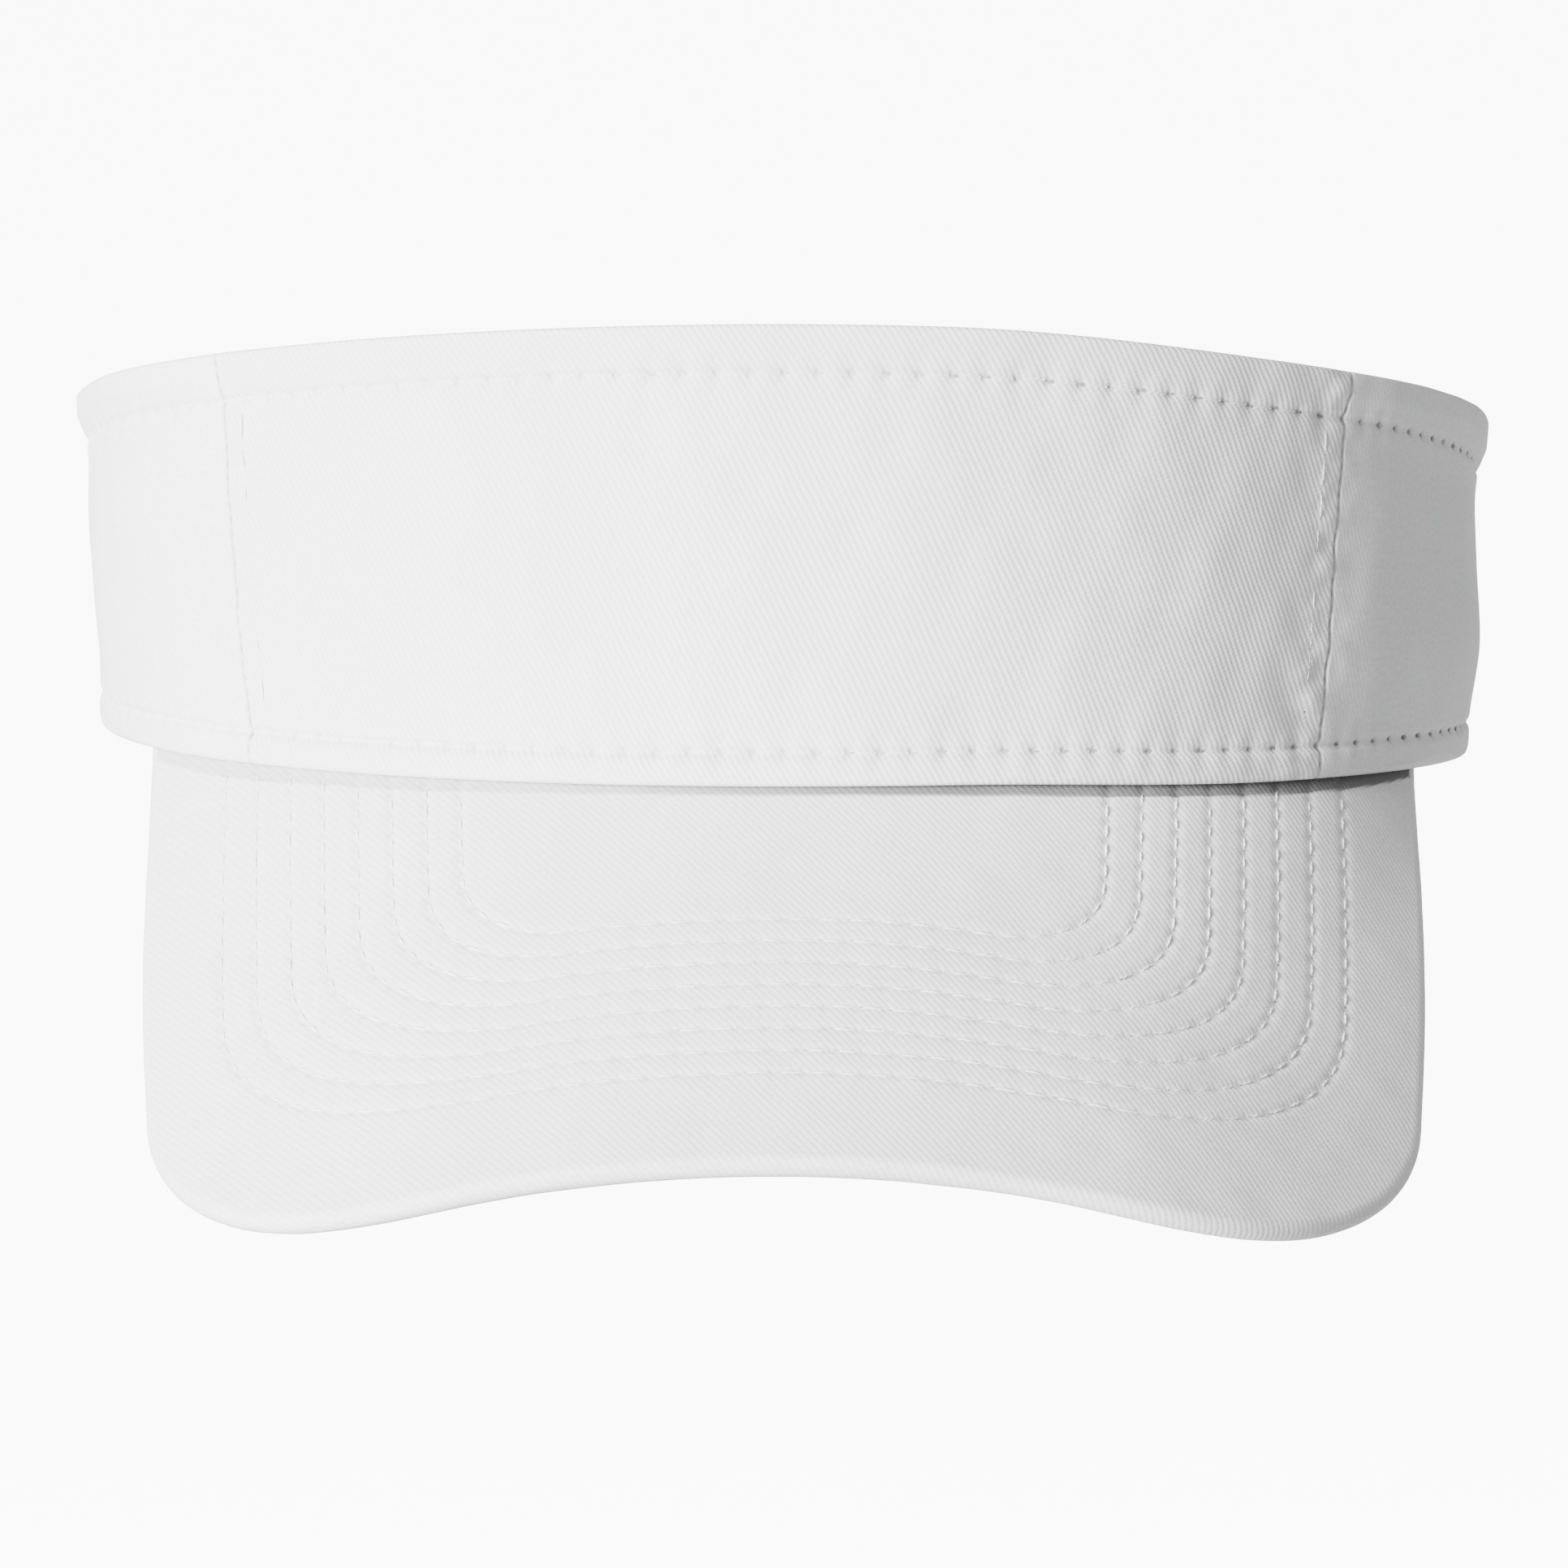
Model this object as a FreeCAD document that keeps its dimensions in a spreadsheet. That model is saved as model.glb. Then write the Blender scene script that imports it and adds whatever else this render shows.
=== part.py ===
import FreeCAD, Part
import math
import os

import Sketcher
from FreeCAD import Vector

# A cotton sun visor: a three-panel band open at the top, a curved bill, and a strap with a clamp buckle.
# Frame: +Z up, the front faces -Y, +X is the wearer's left, the origin is the middle of the head opening
# in the plane of the band's lower edge. Lengths are in millimetres and angles in degrees.

doc = FreeCAD.newDocument("SunVisor")

# ---------------------------------------------------------------- driving dimensions
SIZES = [
    # The band's plan is an oval of arcs, given at a low and a high level and straight in between.
    ("level_low", -8, "height of the low section"),
    ("level_high", 64, "height of the high section"),
    ("half_width", 94.8, "half width of the oval at the low section"),
    ("flare", 3.6, "how much wider each half is at the high section"),
    ("side_offset_low", 5.8, "side arcs' centres off the middle plane, at the low section"),
    ("side_offset_high", 18.9, "the same at the high section"),
    ("side_centre_high", 0.7, "how far back the side arcs' centres lie at the high section"),
    ("seam_angle", 46.5, "direction of the panel seams, from straight ahead"),
    ("back_angle", 60, "where side arc meets back arc, from straight back"),
    ("end_angle", 24, "direction of the panel ends, from straight back"),
    # The band's edges, seen from the side, are straight between the front and the back.
    ("front_height", 61.4, "top edge at the front"),
    ("back_margin", 4.3, "top edge at the back, above the strap"),
    ("back_rise", 3, "lower edge at the back, above that at the front"),
    ("cut_reach", 150, "half size of every trimming profile"),
    # Fabric layers, from the outside in.
    ("panel_thickness", 1.2, "crown panels"),
    ("interlining_thickness", 0.5, "stiffener behind the front panel"),
    ("tape_thickness", 0.4, "seam tapes"),
    ("tape_half_angle", 4.0, "half width of a seam tape, as an angle"),
    ("tape_gap_angle", 0.5, "between the stiffener and a seam tape"),
    ("layer_gap", 0.4, "between the edges of inner layers"),
    ("bottom_hem", 4.4, "height of the lower hem"),
    ("top_hem", 6.4, "height of the upper hem"),
    ("sweatband_thickness", 1.6, "sweatband"),
    ("sweatband_front", 33, "top edge of the sweatband at the front"),
    ("sweatband_margin", 1.5, "top edge of the sweatband at the back, above the strap"),
    ("sweatband_start", 0.8, "sweatband above the band's lower edge"),
    # The bill: part of a tube that slopes down, trimmed to an outline.
    ("bill_slope", 34.5, "slope of the bill's middle line"),
    ("bill_bend", 1.206, "how much tighter the bill bends than the crown's front arc asks for"),
    ("bill_drop", 1.0, "how far below the crown's front the bill's middle line starts"),
    ("bill_length", 73.3, "length along the middle line"),
    ("bill_section_angle", 45, "how far a bill layer's section runs to each side before it is trimmed"),
    ("bill_rear", 52, "how far the outline runs back beside the crown"),
    ("bill_side_setback", 7.1, "side edges' back ends, in from the crown's side"),
    ("bill_taper", 3.1, "angle of the side edges to the middle line"),
    ("bill_front_radius", 1700, "radius of the front edge"),
    ("bill_corner", 42, "radius of the front corners"),
    ("cover_thickness", 0.7, "each fabric cover of the bill"),
    ("board_thickness", 1.8, "stiff board inside the bill"),
    ("cover_rim", 1.0, "fabric that wraps the board's edge"),
    ("board_setback", 1.2, "board short of the covers at the crown"),
    # The adjustable strap and the space that it slides in.
    ("strap_width", 19, "height of the strap"),
    ("strap_thickness", 1.3, "thickness of the strap"),
    ("strap_edge_gap", 0.7, "strap above the lower hem, at the back"),
    ("casing_clearance", 0.6, "free space on each face of the strap"),
    ("strap_root_angle", 44, "hidden end, to the wearer's left of straight back"),
    ("strap_tail_angle", 44, "tucked tail, to the wearer's right of straight back"),
    # The clamp buckle.
    ("buckle_angle", 16.5, "middle of the buckle, to the wearer's right of straight back"),
    ("frame_length", 18, "buckle frame along the strap"),
    ("frame_wall", 1.1, "cheeks of the buckle frame"),
    ("plate_thickness", 0.8, "back plate of the buckle frame"),
    ("strap_side_clearance", 0.5, "strap edge to cheek"),
    ("strap_face_clearance", 0.75, "strap face to back plate at mid length"),
    ("cheek_height", 4.4, "cheeks above the strap's middle surface"),
    ("cheek_corner", 1.6, "rounded outer corners of the cheeks"),
    ("bar_radius", 1, "bar that the fabric loop wraps"),
    ("bar_offset", 7.4, "bar before the middle of the buckle"),
    ("bar_level", 3, "bar outside the strap's middle surface"),
    ("pin_radius", 0.8, "hinge pin"),
    ("pin_offset", 6, "hinge pin past the middle of the buckle"),
    ("pin_level", 2.6, "hinge pin outside the strap's middle surface"),
    ("pin_head", 0.4, "pin beyond each cheek"),
    ("pin_clearance", 0.08, "lever's bore around the pin"),
    ("barrel_radius", 1.6, "lever's barrel"),
    ("lever_thickness", 1, "lever's plate"),
    ("lever_reach", 11, "lever's plate, from the pin to its free end"),
    ("lever_side_clearance", 0.4, "lever to each cheek"),
    ("tooth_depth", 0.24, "gripping tooth beyond the barrel"),
    ("tooth_width", 1.2, "width of the gripping tooth"),
    ("loop_thickness", 0.9, "fabric of the buckle loop"),
    ("loop_clearance", 0.1, "loop around the bar"),
    ("loop_side_clearance", 1.2, "loop to each cheek"),
    ("loop_overrun", 0.1, "angle that the loop is drawn past the panel's end, before it is cut back"),
]

sizes = doc.addObject("Spreadsheet::Sheet", "sizes")
sizes.Label = "driving dimensions"
for row, (alias, value, meaning) in enumerate(SIZES, start=1):
    sizes.set(f"A{row}", alias)
    sizes.set(f"B{row}", str(value))
    sizes.set(f"C{row}", meaning)
    sizes.setAlias(f"B{row}", alias)
doc.recompute()


def s(expression):
    """The expression with every alias written as the other objects must write it."""
    for alias, _, _ in sorted(SIZES, key=lambda size: -len(size[0])):
        expression = expression.replace(f"<{alias}>", f"sizes.{alias}")
    return expression


def number(expression):
    """The present value of an expression over the sheet."""
    return float(sizes.evalExpression(s(expression)))


# ---------------------------------------------------------------- shared sketch helpers
def origin_plane(body, role):
    return next(feature for feature in body.Origin.OriginFeatures if feature.Role == role)


def new_body(name):
    body = doc.addObject("PartDesign::Body", name)
    body.Label = name
    return body


def new_sketch(body, name, role="XY_Plane"):
    sketch = body.newObject("Sketcher::SketchObject", name)
    sketch.AttachmentSupport = [(origin_plane(body, role), "")]
    sketch.MapMode = "FlatFace"
    return sketch


def raise_sketch(sketch, expression):
    """Move a sketch along its own normal."""
    sketch.setExpression("AttachmentOffset.Base.z", s(expression))


def drive(sketch, kind, *where, expression):
    """Add a dimension and bind it to the sheet."""
    value = number(expression)
    datum = math.radians(value) if kind == "Angle" else value
    index = sketch.addConstraint(Sketcher.Constraint(kind, *where, datum))
    sketch.setExpression(f"Constraints[{index}]", s(expression))


def drive_point(sketch, geometry, point, x, y):
    """Hold one point of a sketch at two expressions measured from the sketch's origin."""
    drive(sketch, "DistanceX", -1, 1, geometry, point, expression=x)
    drive(sketch, "DistanceY", -1, 1, geometry, point, expression=y)


def ring_sector(sketch, centre_x, centre_y, outer, inner, start, end):
    """A closed sector of a ring: two arcs about one centre between two radial lines.

    start and end are directions in degrees, counted from the sketch's x axis, start below end.
    """
    centre = Vector(number(centre_x), number(centre_y), 0)
    angles = [math.radians(number(start)), math.radians(number(end))]
    rays = [Vector(math.cos(angle), math.sin(angle), 0) for angle in angles]
    radii = [number(outer), number(inner)]
    arcs = [
        sketch.addGeometry(Part.ArcOfCircle(Part.Circle(centre, Vector(0, 0, 1), radius), *angles), False)
        for radius in radii
    ]
    lines = [
        sketch.addGeometry(Part.LineSegment(centre + ray * radii[1], centre + ray * radii[0]), False)
        for ray in rays
    ]
    sketch.addConstraint(Sketcher.Constraint("Coincident", arcs[0], 3, arcs[1], 3))
    drive_point(sketch, arcs[0], 3, centre_x, centre_y)
    for arc, radius in zip(arcs, (outer, inner)):
        drive(sketch, "Radius", arc, expression=radius)
    for point, (line, direction) in enumerate(zip(lines, (start, end)), start=1):
        sketch.addConstraint(Sketcher.Constraint("Coincident", line, 1, arcs[1], point))
        sketch.addConstraint(Sketcher.Constraint("Coincident", line, 2, arcs[0], point))
        sketch.addConstraint(Sketcher.Constraint("PointOnObject", arcs[0], 3, line))
        drive(sketch, "Angle", line, expression=direction)


def polygon(sketch, corners):
    """A closed outline whose corners are pairs of expressions."""
    points = [Vector(number(x), number(y), 0) for x, y in corners]
    count = len(points)
    lines = [
        sketch.addGeometry(Part.LineSegment(points[i], points[(i + 1) % count]), False)
        for i in range(count)
    ]
    for i, line in enumerate(lines):
        sketch.addConstraint(Sketcher.Constraint("Coincident", line, 2, lines[(i + 1) % count], 1))
        drive_point(sketch, line, 1, *corners[i])


def circle(sketch, centre_x, centre_y, radius):
    centre = Vector(number(centre_x), number(centre_y), 0)
    ring = sketch.addGeometry(Part.Circle(centre, Vector(0, 0, 1), number(radius)), False)
    drive_point(sketch, ring, 3, centre_x, centre_y)
    drive(sketch, "Radius", ring, expression=radius)


def pad(body, name, sketch, length):
    """A pad of the given length, half on each side of its sketch."""
    feature = body.newObject("PartDesign::Pad", name)
    feature.Profile = sketch
    feature.Midplane = True
    feature.setExpression("Length", s(length))
    return feature


def pocket_through(body, name, sketch):
    """Cut a sketch through everything on both sides, and make sure that it cuts."""
    doc.recompute()
    before = body.Shape.Volume
    feature = body.newObject("PartDesign::Pocket", name)
    feature.Profile = sketch
    feature.Midplane = True
    feature.Type = "ThroughAll"
    doc.recompute()
    if not body.Shape.Volume < before:
        raise RuntimeError(f"{name} of {body.Label} cuts nothing")
    return feature


def loft(body, name, low, high, kind="PartDesign::AdditiveLoft"):
    feature = body.newObject(kind, name)
    feature.Profile = low
    feature.Sections = [high]
    feature.Ruled = True
    return feature


# ---------------------------------------------------------------- the band's oval
def side_arc(level, side):
    """Centre x, centre y and radius of a side arc; side is 1 at the wearer's left and -1 at the right."""
    share = f"((({level}) - <level_low>) / (<level_high> - <level_low>))"
    offset = f"(<side_offset_low> + (<side_offset_high> - <side_offset_low>) * {share})"
    radius = f"(<half_width> + <flare> * {share} - {offset})"
    return f"{side} * {offset}", f"<side_centre_high> * {share}", radius


def front_arc(level):
    """The same for the front arc, which the side arcs run into at the seams."""
    offset, centre, radius = side_arc(level, 1)
    return "0", f"({centre} + {offset} / tan(<seam_angle>))", f"({radius} + {offset} / sin(<seam_angle>))"


def back_arc(level):
    offset, centre, radius = side_arc(level, 1)
    return "0", f"({centre} - {offset} / tan(<back_angle>))", f"({radius} + {offset} / sin(<back_angle>))"


STRAP_MIDDLE = "(<back_rise> + <bottom_hem> + <strap_edge_gap> + <strap_width> / 2)"
STRAP_TOP = f"({STRAP_MIDDLE} + <strap_width> / 2)"
BACK_HEIGHT = f"({STRAP_TOP} + <back_margin>)"
FRONT_REACH = f"({front_arc('0')[2]} - {front_arc('0')[1]})"


def direction(angle, side):
    """A sketch direction for an angle counted from straight ahead towards one side."""
    return f"{side} * ({angle}) - 90"


def band_layer(body, name, arc, angles, outer, inner, side=1, kind="PartDesign::AdditiveLoft"):
    """One layer of the band between two depths, over one arc of the oval and the full height."""
    ends = [direction(angle, side) for angle in angles]
    if side < 0:
        ends.reverse()
    sections = []
    for level in ("<level_low>", "<level_high>"):
        sketch = new_sketch(body, f"{name}_section_{len(sections)}")
        raise_sketch(sketch, level)
        x, y, radius = arc(level, side) if arc is side_arc else arc(level)
        ring_sector(sketch, x, y, f"{radius} - ({outer})", f"{radius} - ({inner})", *ends)
        sections.append(sketch)
    return loft(body, name, *sections, kind=kind)


def edge_height(front, back, y):
    """Level at y of a straight edge, given its levels as far ahead and as far back as the crown's front."""
    return f"(({front}) + (({back}) - ({front})) * (({y}) + {FRONT_REACH}) / (2 * {FRONT_REACH}))"


def cut_above(body, name, front, back):
    """Trim everything above a sloping edge that is seen from the side."""
    sketch = new_sketch(body, f"{name}_profile", "YZ_Plane")
    reach = "<cut_reach>"
    polygon(sketch, [
        (f"-{reach}", edge_height(front, back, f"-{reach}")),
        (reach, edge_height(front, back, reach)),
        (reach, f"2 * {reach}"),
        (f"-{reach}", f"2 * {reach}"),
    ])
    return pocket_through(body, name, sketch)


def cut_below(body, name, front, back):
    sketch = new_sketch(body, f"{name}_profile", "YZ_Plane")
    reach = "<cut_reach>"
    polygon(sketch, [
        (f"-{reach}", edge_height(front, back, f"-{reach}")),
        (f"-{reach}", f"-2 * {reach}"),
        (reach, f"-2 * {reach}"),
        (reach, edge_height(front, back, reach)),
    ])
    return pocket_through(body, name, sketch)


PANEL_INNER = "<panel_thickness>"
SWEATBAND_OUTER = "<panel_thickness> + 2 * <casing_clearance> + <strap_thickness>"
SWEATBAND_INNER = f"{SWEATBAND_OUTER} + <sweatband_thickness>"
SIDE_SPAN = ("<seam_angle>", "180 - <back_angle>")
BACK_SPAN = ("180 - <back_angle>", "180 - <end_angle>")


# ---------------------------------------------------------------- crown
def make_panel(name, spans):
    """A panel with a thick lower hem; spans lists (arc, angles, side)."""
    body = new_body(name)
    for count, (arc, angles, side) in enumerate(spans):
        band_layer(body, f"hem_{count}", arc, angles, "0", SWEATBAND_OUTER, side)
    cut_above(body, "hem_top", "<bottom_hem>", "<back_rise> + <bottom_hem>")
    for count, (arc, angles, side) in enumerate(spans):
        band_layer(body, f"wall_{count}", arc, angles, "0", PANEL_INNER, side)
    cut_above(body, "top_edge", "<front_height>", BACK_HEIGHT)
    cut_below(body, "lower_edge", "0", "<back_rise>")
    return body


def make_interlining():
    """The stiffener behind the front panel, between the two hems and the two seam tapes."""
    body = new_body("front_interlining")
    edge = "<seam_angle> - <tape_half_angle> - <tape_gap_angle>"
    inner = f"{PANEL_INNER} + <interlining_thickness>"
    band_layer(body, "layer", front_arc, (f"-({edge})", edge), PANEL_INNER, inner)
    cut_above(body, "top_edge", "<front_height> - <top_hem>", f"{BACK_HEIGHT} - <top_hem>")
    cut_below(body, "lower_edge", "<bottom_hem> + <layer_gap>", "<back_rise> + <bottom_hem> + <layer_gap>")
    return body


def make_seam_tape(name, side):
    """A tape over the inside of one seam, half on the front panel and half on the side panel."""
    body = new_body(name)
    inner = f"{PANEL_INNER} + <tape_thickness>"
    before = ("<seam_angle> - <tape_half_angle>", "<seam_angle>")
    after = ("<seam_angle>", "<seam_angle> + <tape_half_angle>")
    band_layer(body, "front_half", front_arc, before, PANEL_INNER, inner, side)
    band_layer(body, "side_half", side_arc, after, PANEL_INNER, inner, side)
    cut_above(body, "top_edge", "<front_height> - <top_hem>", f"{BACK_HEIGHT} - <top_hem>")
    cut_below(body, "lower_edge", "<bottom_hem> + <layer_gap>", "<back_rise> + <bottom_hem> + <layer_gap>")
    return body


def make_sweatband():
    """One band inside the crown, from panel end to panel end; it also closes the strap's casing."""
    body = new_body("sweatband")
    band_layer(body, "front", front_arc, ("-<seam_angle>", "<seam_angle>"), SWEATBAND_OUTER, SWEATBAND_INNER)
    for side, word in ((1, "left"), (-1, "right")):
        band_layer(body, f"{word}_side", side_arc, SIDE_SPAN, SWEATBAND_OUTER, SWEATBAND_INNER, side)
        band_layer(body, f"{word}_back", back_arc, BACK_SPAN, SWEATBAND_OUTER, SWEATBAND_INNER, side)
    cut_above(body, "top_edge", "<sweatband_front>", f"{STRAP_TOP} + <sweatband_margin>")
    cut_below(body, "lower_edge", "<sweatband_start>", "<back_rise> + <sweatband_start>")
    return body


# ---------------------------------------------------------------- bill
BILL_RADIUS = f"({front_arc('0')[2]} / (sin(<bill_slope>) * <bill_bend>))"
REAR_WIDTH = "(<half_width> - <bill_side_setback>)"
CORE_SHARE = 0.9    # how deep the crown-shaped cutter goes, as a share of the side arcs' radius
HALVINGS = 60       # steps of halving that place the bill's corners


def bill_plan(sketch, inset):
    """The bill's outline in its own flat: front edge towards -y, side edges running back."""
    length, rear = number(f"<bill_length> - ({inset})"), number("<bill_rear>")
    radius, corner = number(f"<bill_front_radius> - ({inset})"), number(f"<bill_corner> - ({inset})")
    rear_width = number(f"{REAR_WIDTH} - ({inset})")
    taper = math.radians(number("<bill_taper>"))
    front_centre = Vector(0, radius - length, 0)
    # A corner's centre lies one corner radius inside the side line and inside the front arc.
    side_in = corner / math.cos(taper)
    low, high = -length, rear
    for _ in range(HALVINGS):
        y = (low + high) / 2
        x = rear_width - (rear - y) * math.tan(taper) - side_in
        if math.hypot(x, y - front_centre.y) > radius - corner:
            low = y
        else:
            high = y
    corner_centre = Vector(x, y, 0)
    to_corner = (corner_centre - front_centre).normalize()
    meet_front = front_centre + to_corner * radius
    meet_side = corner_centre + Vector(math.cos(taper), -math.sin(taper), 0) * corner
    back = Vector(rear_width, rear, 0)

    def mirrored(point):
        return Vector(-point.x, point.y, 0)

    half = math.atan2(meet_front.x, front_centre.y - meet_front.y)
    axis = Vector(0, 0, 1)
    front = sketch.addGeometry(Part.ArcOfCircle(
        Part.Circle(front_centre, axis, radius), -math.pi / 2 - half, -math.pi / 2 + half), False)
    right_corner = sketch.addGeometry(Part.ArcOfCircle(
        Part.Circle(corner_centre, axis, corner), half - math.pi / 2, -taper), False)
    left_corner = sketch.addGeometry(Part.ArcOfCircle(
        Part.Circle(mirrored(corner_centre), axis, corner), math.pi + taper, 3 * math.pi / 2 - half), False)
    right_side = sketch.addGeometry(Part.LineSegment(meet_side, back), False)
    left_side = sketch.addGeometry(Part.LineSegment(mirrored(meet_side), mirrored(back)), False)
    rear_line = sketch.addGeometry(Part.LineSegment(back, mirrored(back)), False)
    join = [
        ("Tangent", front, 2, right_corner, 1),
        ("Tangent", front, 1, left_corner, 2),
        ("Tangent", right_corner, 2, right_side, 1),
        ("Tangent", left_corner, 1, left_side, 1),
        ("Coincident", right_side, 2, rear_line, 1),
        ("Coincident", left_side, 2, rear_line, 2),
    ]
    for constraint in join:
        sketch.addConstraint(Sketcher.Constraint(*constraint))
    drive_point(sketch, front, 3, "0", f"<bill_front_radius> - <bill_length>")
    drive(sketch, "Radius", front, expression=f"<bill_front_radius> - ({inset})")
    for corner_arc in (right_corner, left_corner):
        drive(sketch, "Radius", corner_arc, expression=f"<bill_corner> - ({inset})")
    drive(sketch, "Angle", right_side, expression="90 - <bill_taper>")
    drive(sketch, "Angle", left_side, expression="90 + <bill_taper>")
    drive_point(sketch, right_side, 2, f"{REAR_WIDTH} - ({inset})", "<bill_rear>")
    drive_point(sketch, left_side, 2, f"-({REAR_WIDTH} - ({inset}))", "<bill_rear>")


def tilt_sketch(sketch):
    """Tip a sketch on an origin plane with the bill's slope and put it at the bill's start."""
    turned = "rotation(vector(1; 0; 0); <bill_slope>)"
    in_plane = f"vector(0; -{FRONT_REACH}; -<bill_drop>)"
    if sketch.AttachmentSupport[0][0].Role == "XZ_Plane":
        in_plane = f"vector(0; -<bill_drop>; {FRONT_REACH})"
    sketch.setExpression("AttachmentOffset", s(f"placement({in_plane}; {turned})"))


def make_bill_layer(name, outer_depth, inner_depth, inset, setback):
    """A curved slab between two depths of the bill, trimmed to the outline.

    Its back end stops level with the crown's lower edge and under the crown's hem, less the setback.
    """
    body = new_body(name)
    section = new_sketch(body, "section", "XZ_Plane")
    tilt_sketch(section)
    outer = f"{BILL_RADIUS} - ({outer_depth})"
    inner = f"{BILL_RADIUS} - ({inner_depth})"
    section_angles = ("90 - <bill_section_angle>", "90 + <bill_section_angle>")
    ring_sector(section, "0", f"-{BILL_RADIUS}", outer, inner, *section_angles)
    pad(body, "slab", section, "2 * (<bill_length> + <bill_rear>)")
    plan = new_sketch(body, "plan")
    tilt_sketch(plan)
    reach = "<cut_reach>"
    polygon(plan, [(f"-{reach}", f"-{reach}"), (reach, f"-{reach}"), (reach, reach), (f"-{reach}", reach)])
    bill_plan(plan, inset)
    pocket_through(body, "outline", plan)
    cut_above(body, "under_crown", f"-({setback})", f"<back_rise> - ({setback})")
    before = body.Shape.Volume
    hem_depth = f"{SWEATBAND_OUTER} - ({setback})"
    core = f"{hem_depth} + {CORE_SHARE} * {side_arc('<level_high>', 1)[2]}"
    spans = [(front_arc, ("-<seam_angle>", "<seam_angle>"), 1)]
    spans += [(side_arc, SIDE_SPAN, side) for side in (1, -1)]
    for count, (arc, angles, side) in enumerate(spans):
        band_layer(body, f"crown_{count}", arc, angles, hem_depth, core, side,
                   kind="PartDesign::SubtractiveLoft")
    doc.recompute()
    if not body.Shape.Volume < before:
        raise RuntimeError(f"the crown does not trim {name}")
    return body


def cut_away(name, blank, tool):
    """The blank less the tool, as a piece of its own."""
    cut = doc.addObject("Part::Cut", name)
    cut.Label = name
    cut.Base = blank
    cut.Tool = tool
    return cut


def make_bill():
    mid = "<cover_thickness> + <board_thickness> / 2"
    lower = "<cover_thickness> + <board_thickness>"
    board = make_bill_layer("bill_board", "<cover_thickness>", lower, "<cover_rim>", "<board_setback>")
    top_blank = make_bill_layer("top_cover_blank", "0", mid, "0", "0")
    under_blank = make_bill_layer("under_cover_blank", mid, f"{lower} + <cover_thickness>", "0", "0")
    top = cut_away("bill_top_cover", top_blank, board)
    under = cut_away("bill_under_cover", under_blank, board)
    return board, top, under


# ---------------------------------------------------------------- strap and buckle
STRAP_DEPTH = "<panel_thickness> + <casing_clearance> + <strap_thickness> / 2"
STRAP_CENTRE = back_arc(STRAP_MIDDLE)[1]
STRAP_RADIUS = f"{back_arc(STRAP_MIDDLE)[2]} - ({STRAP_DEPTH})"


def make_strap():
    """The strap is a strip of a cylinder, so it slides along itself about that cylinder's axis."""
    body = new_body("adjuster_strap")
    sketch = new_sketch(body, "strip")
    raise_sketch(sketch, STRAP_MIDDLE)
    outer = f"{STRAP_RADIUS} + <strap_thickness> / 2"
    inner = f"{STRAP_RADIUS} - <strap_thickness> / 2"
    ends = ("90 - <strap_root_angle>", "90 + <strap_tail_angle>")
    ring_sector(sketch, "0", STRAP_CENTRE, outer, inner, *ends)
    pad(body, "band", sketch, "<strap_width>")
    return body


def place_on_strap(body):
    """Put a piece drawn flat at the buckle: x along the strap, y outwards, z up."""
    radial = "vector(-sin(<buckle_angle>); cos(<buckle_angle>); 0)"
    centre = f"vector(0; {STRAP_CENTRE}; {STRAP_MIDDLE})"
    turned = "rotation(vector(0; 0; 1); <buckle_angle>)"
    body.setExpression("Placement", s(f"placement({centre} + {radial} * ({STRAP_RADIUS}); {turned})"))


CHEEK_INNER = "<strap_width> + 2 * <strap_side_clearance>"
CHEEK_OUTER = f"{CHEEK_INNER} + 2 * <frame_wall>"
PLATE_TOP = "-(<strap_thickness> / 2 + <strap_face_clearance>)"


def make_buckle_frame():
    """A back plate behind the strap, a cheek at each edge of it, and a bar for the loop."""
    body = new_body("buckle_frame")
    side = new_sketch(body, "cheek_profile")
    half = "<frame_length> / 2"
    bottom = f"{PLATE_TOP} - <plate_thickness>"
    cut = "<cheek_corner>"
    polygon(side, [
        (f"-{half}", bottom), (half, bottom), (half, f"<cheek_height> - {cut}"),
        (f"{half} - {cut}", "<cheek_height>"), (f"-{half} + {cut}", "<cheek_height>"),
        (f"-{half}", f"<cheek_height> - {cut}"),
    ])
    pad(body, "block", side, CHEEK_OUTER)
    doc.recompute()
    channel = new_sketch(body, "channel_profile")
    polygon(channel, [
        ("-<frame_length>", PLATE_TOP), ("<frame_length>", PLATE_TOP),
        ("<frame_length>", "2 * <cheek_height>"), ("-<frame_length>", "2 * <cheek_height>"),
    ])
    groove = body.newObject("PartDesign::Pocket", "channel")
    groove.Profile = channel
    groove.Midplane = True
    groove.setExpression("Length", s(CHEEK_INNER))
    bar = new_sketch(body, "bar_section")
    circle(bar, "-<bar_offset>", "<bar_level>", "<bar_radius>")
    pad(body, "bar", bar, CHEEK_OUTER)
    pin_hole = new_sketch(body, "pin_hole_circle")
    circle(pin_hole, "<pin_offset>", "<pin_level>", "<pin_radius>")
    pocket_through(body, "pin_hole", pin_hole)
    place_on_strap(body)
    return body


def make_buckle_pin():
    body = new_body("buckle_pin")
    sketch = new_sketch(body, "pin_circle")
    circle(sketch, "<pin_offset>", "<pin_level>", "<pin_radius>")
    pad(body, "pin", sketch, f"{CHEEK_OUTER} + 2 * <pin_head>")
    place_on_strap(body)
    return body


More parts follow.
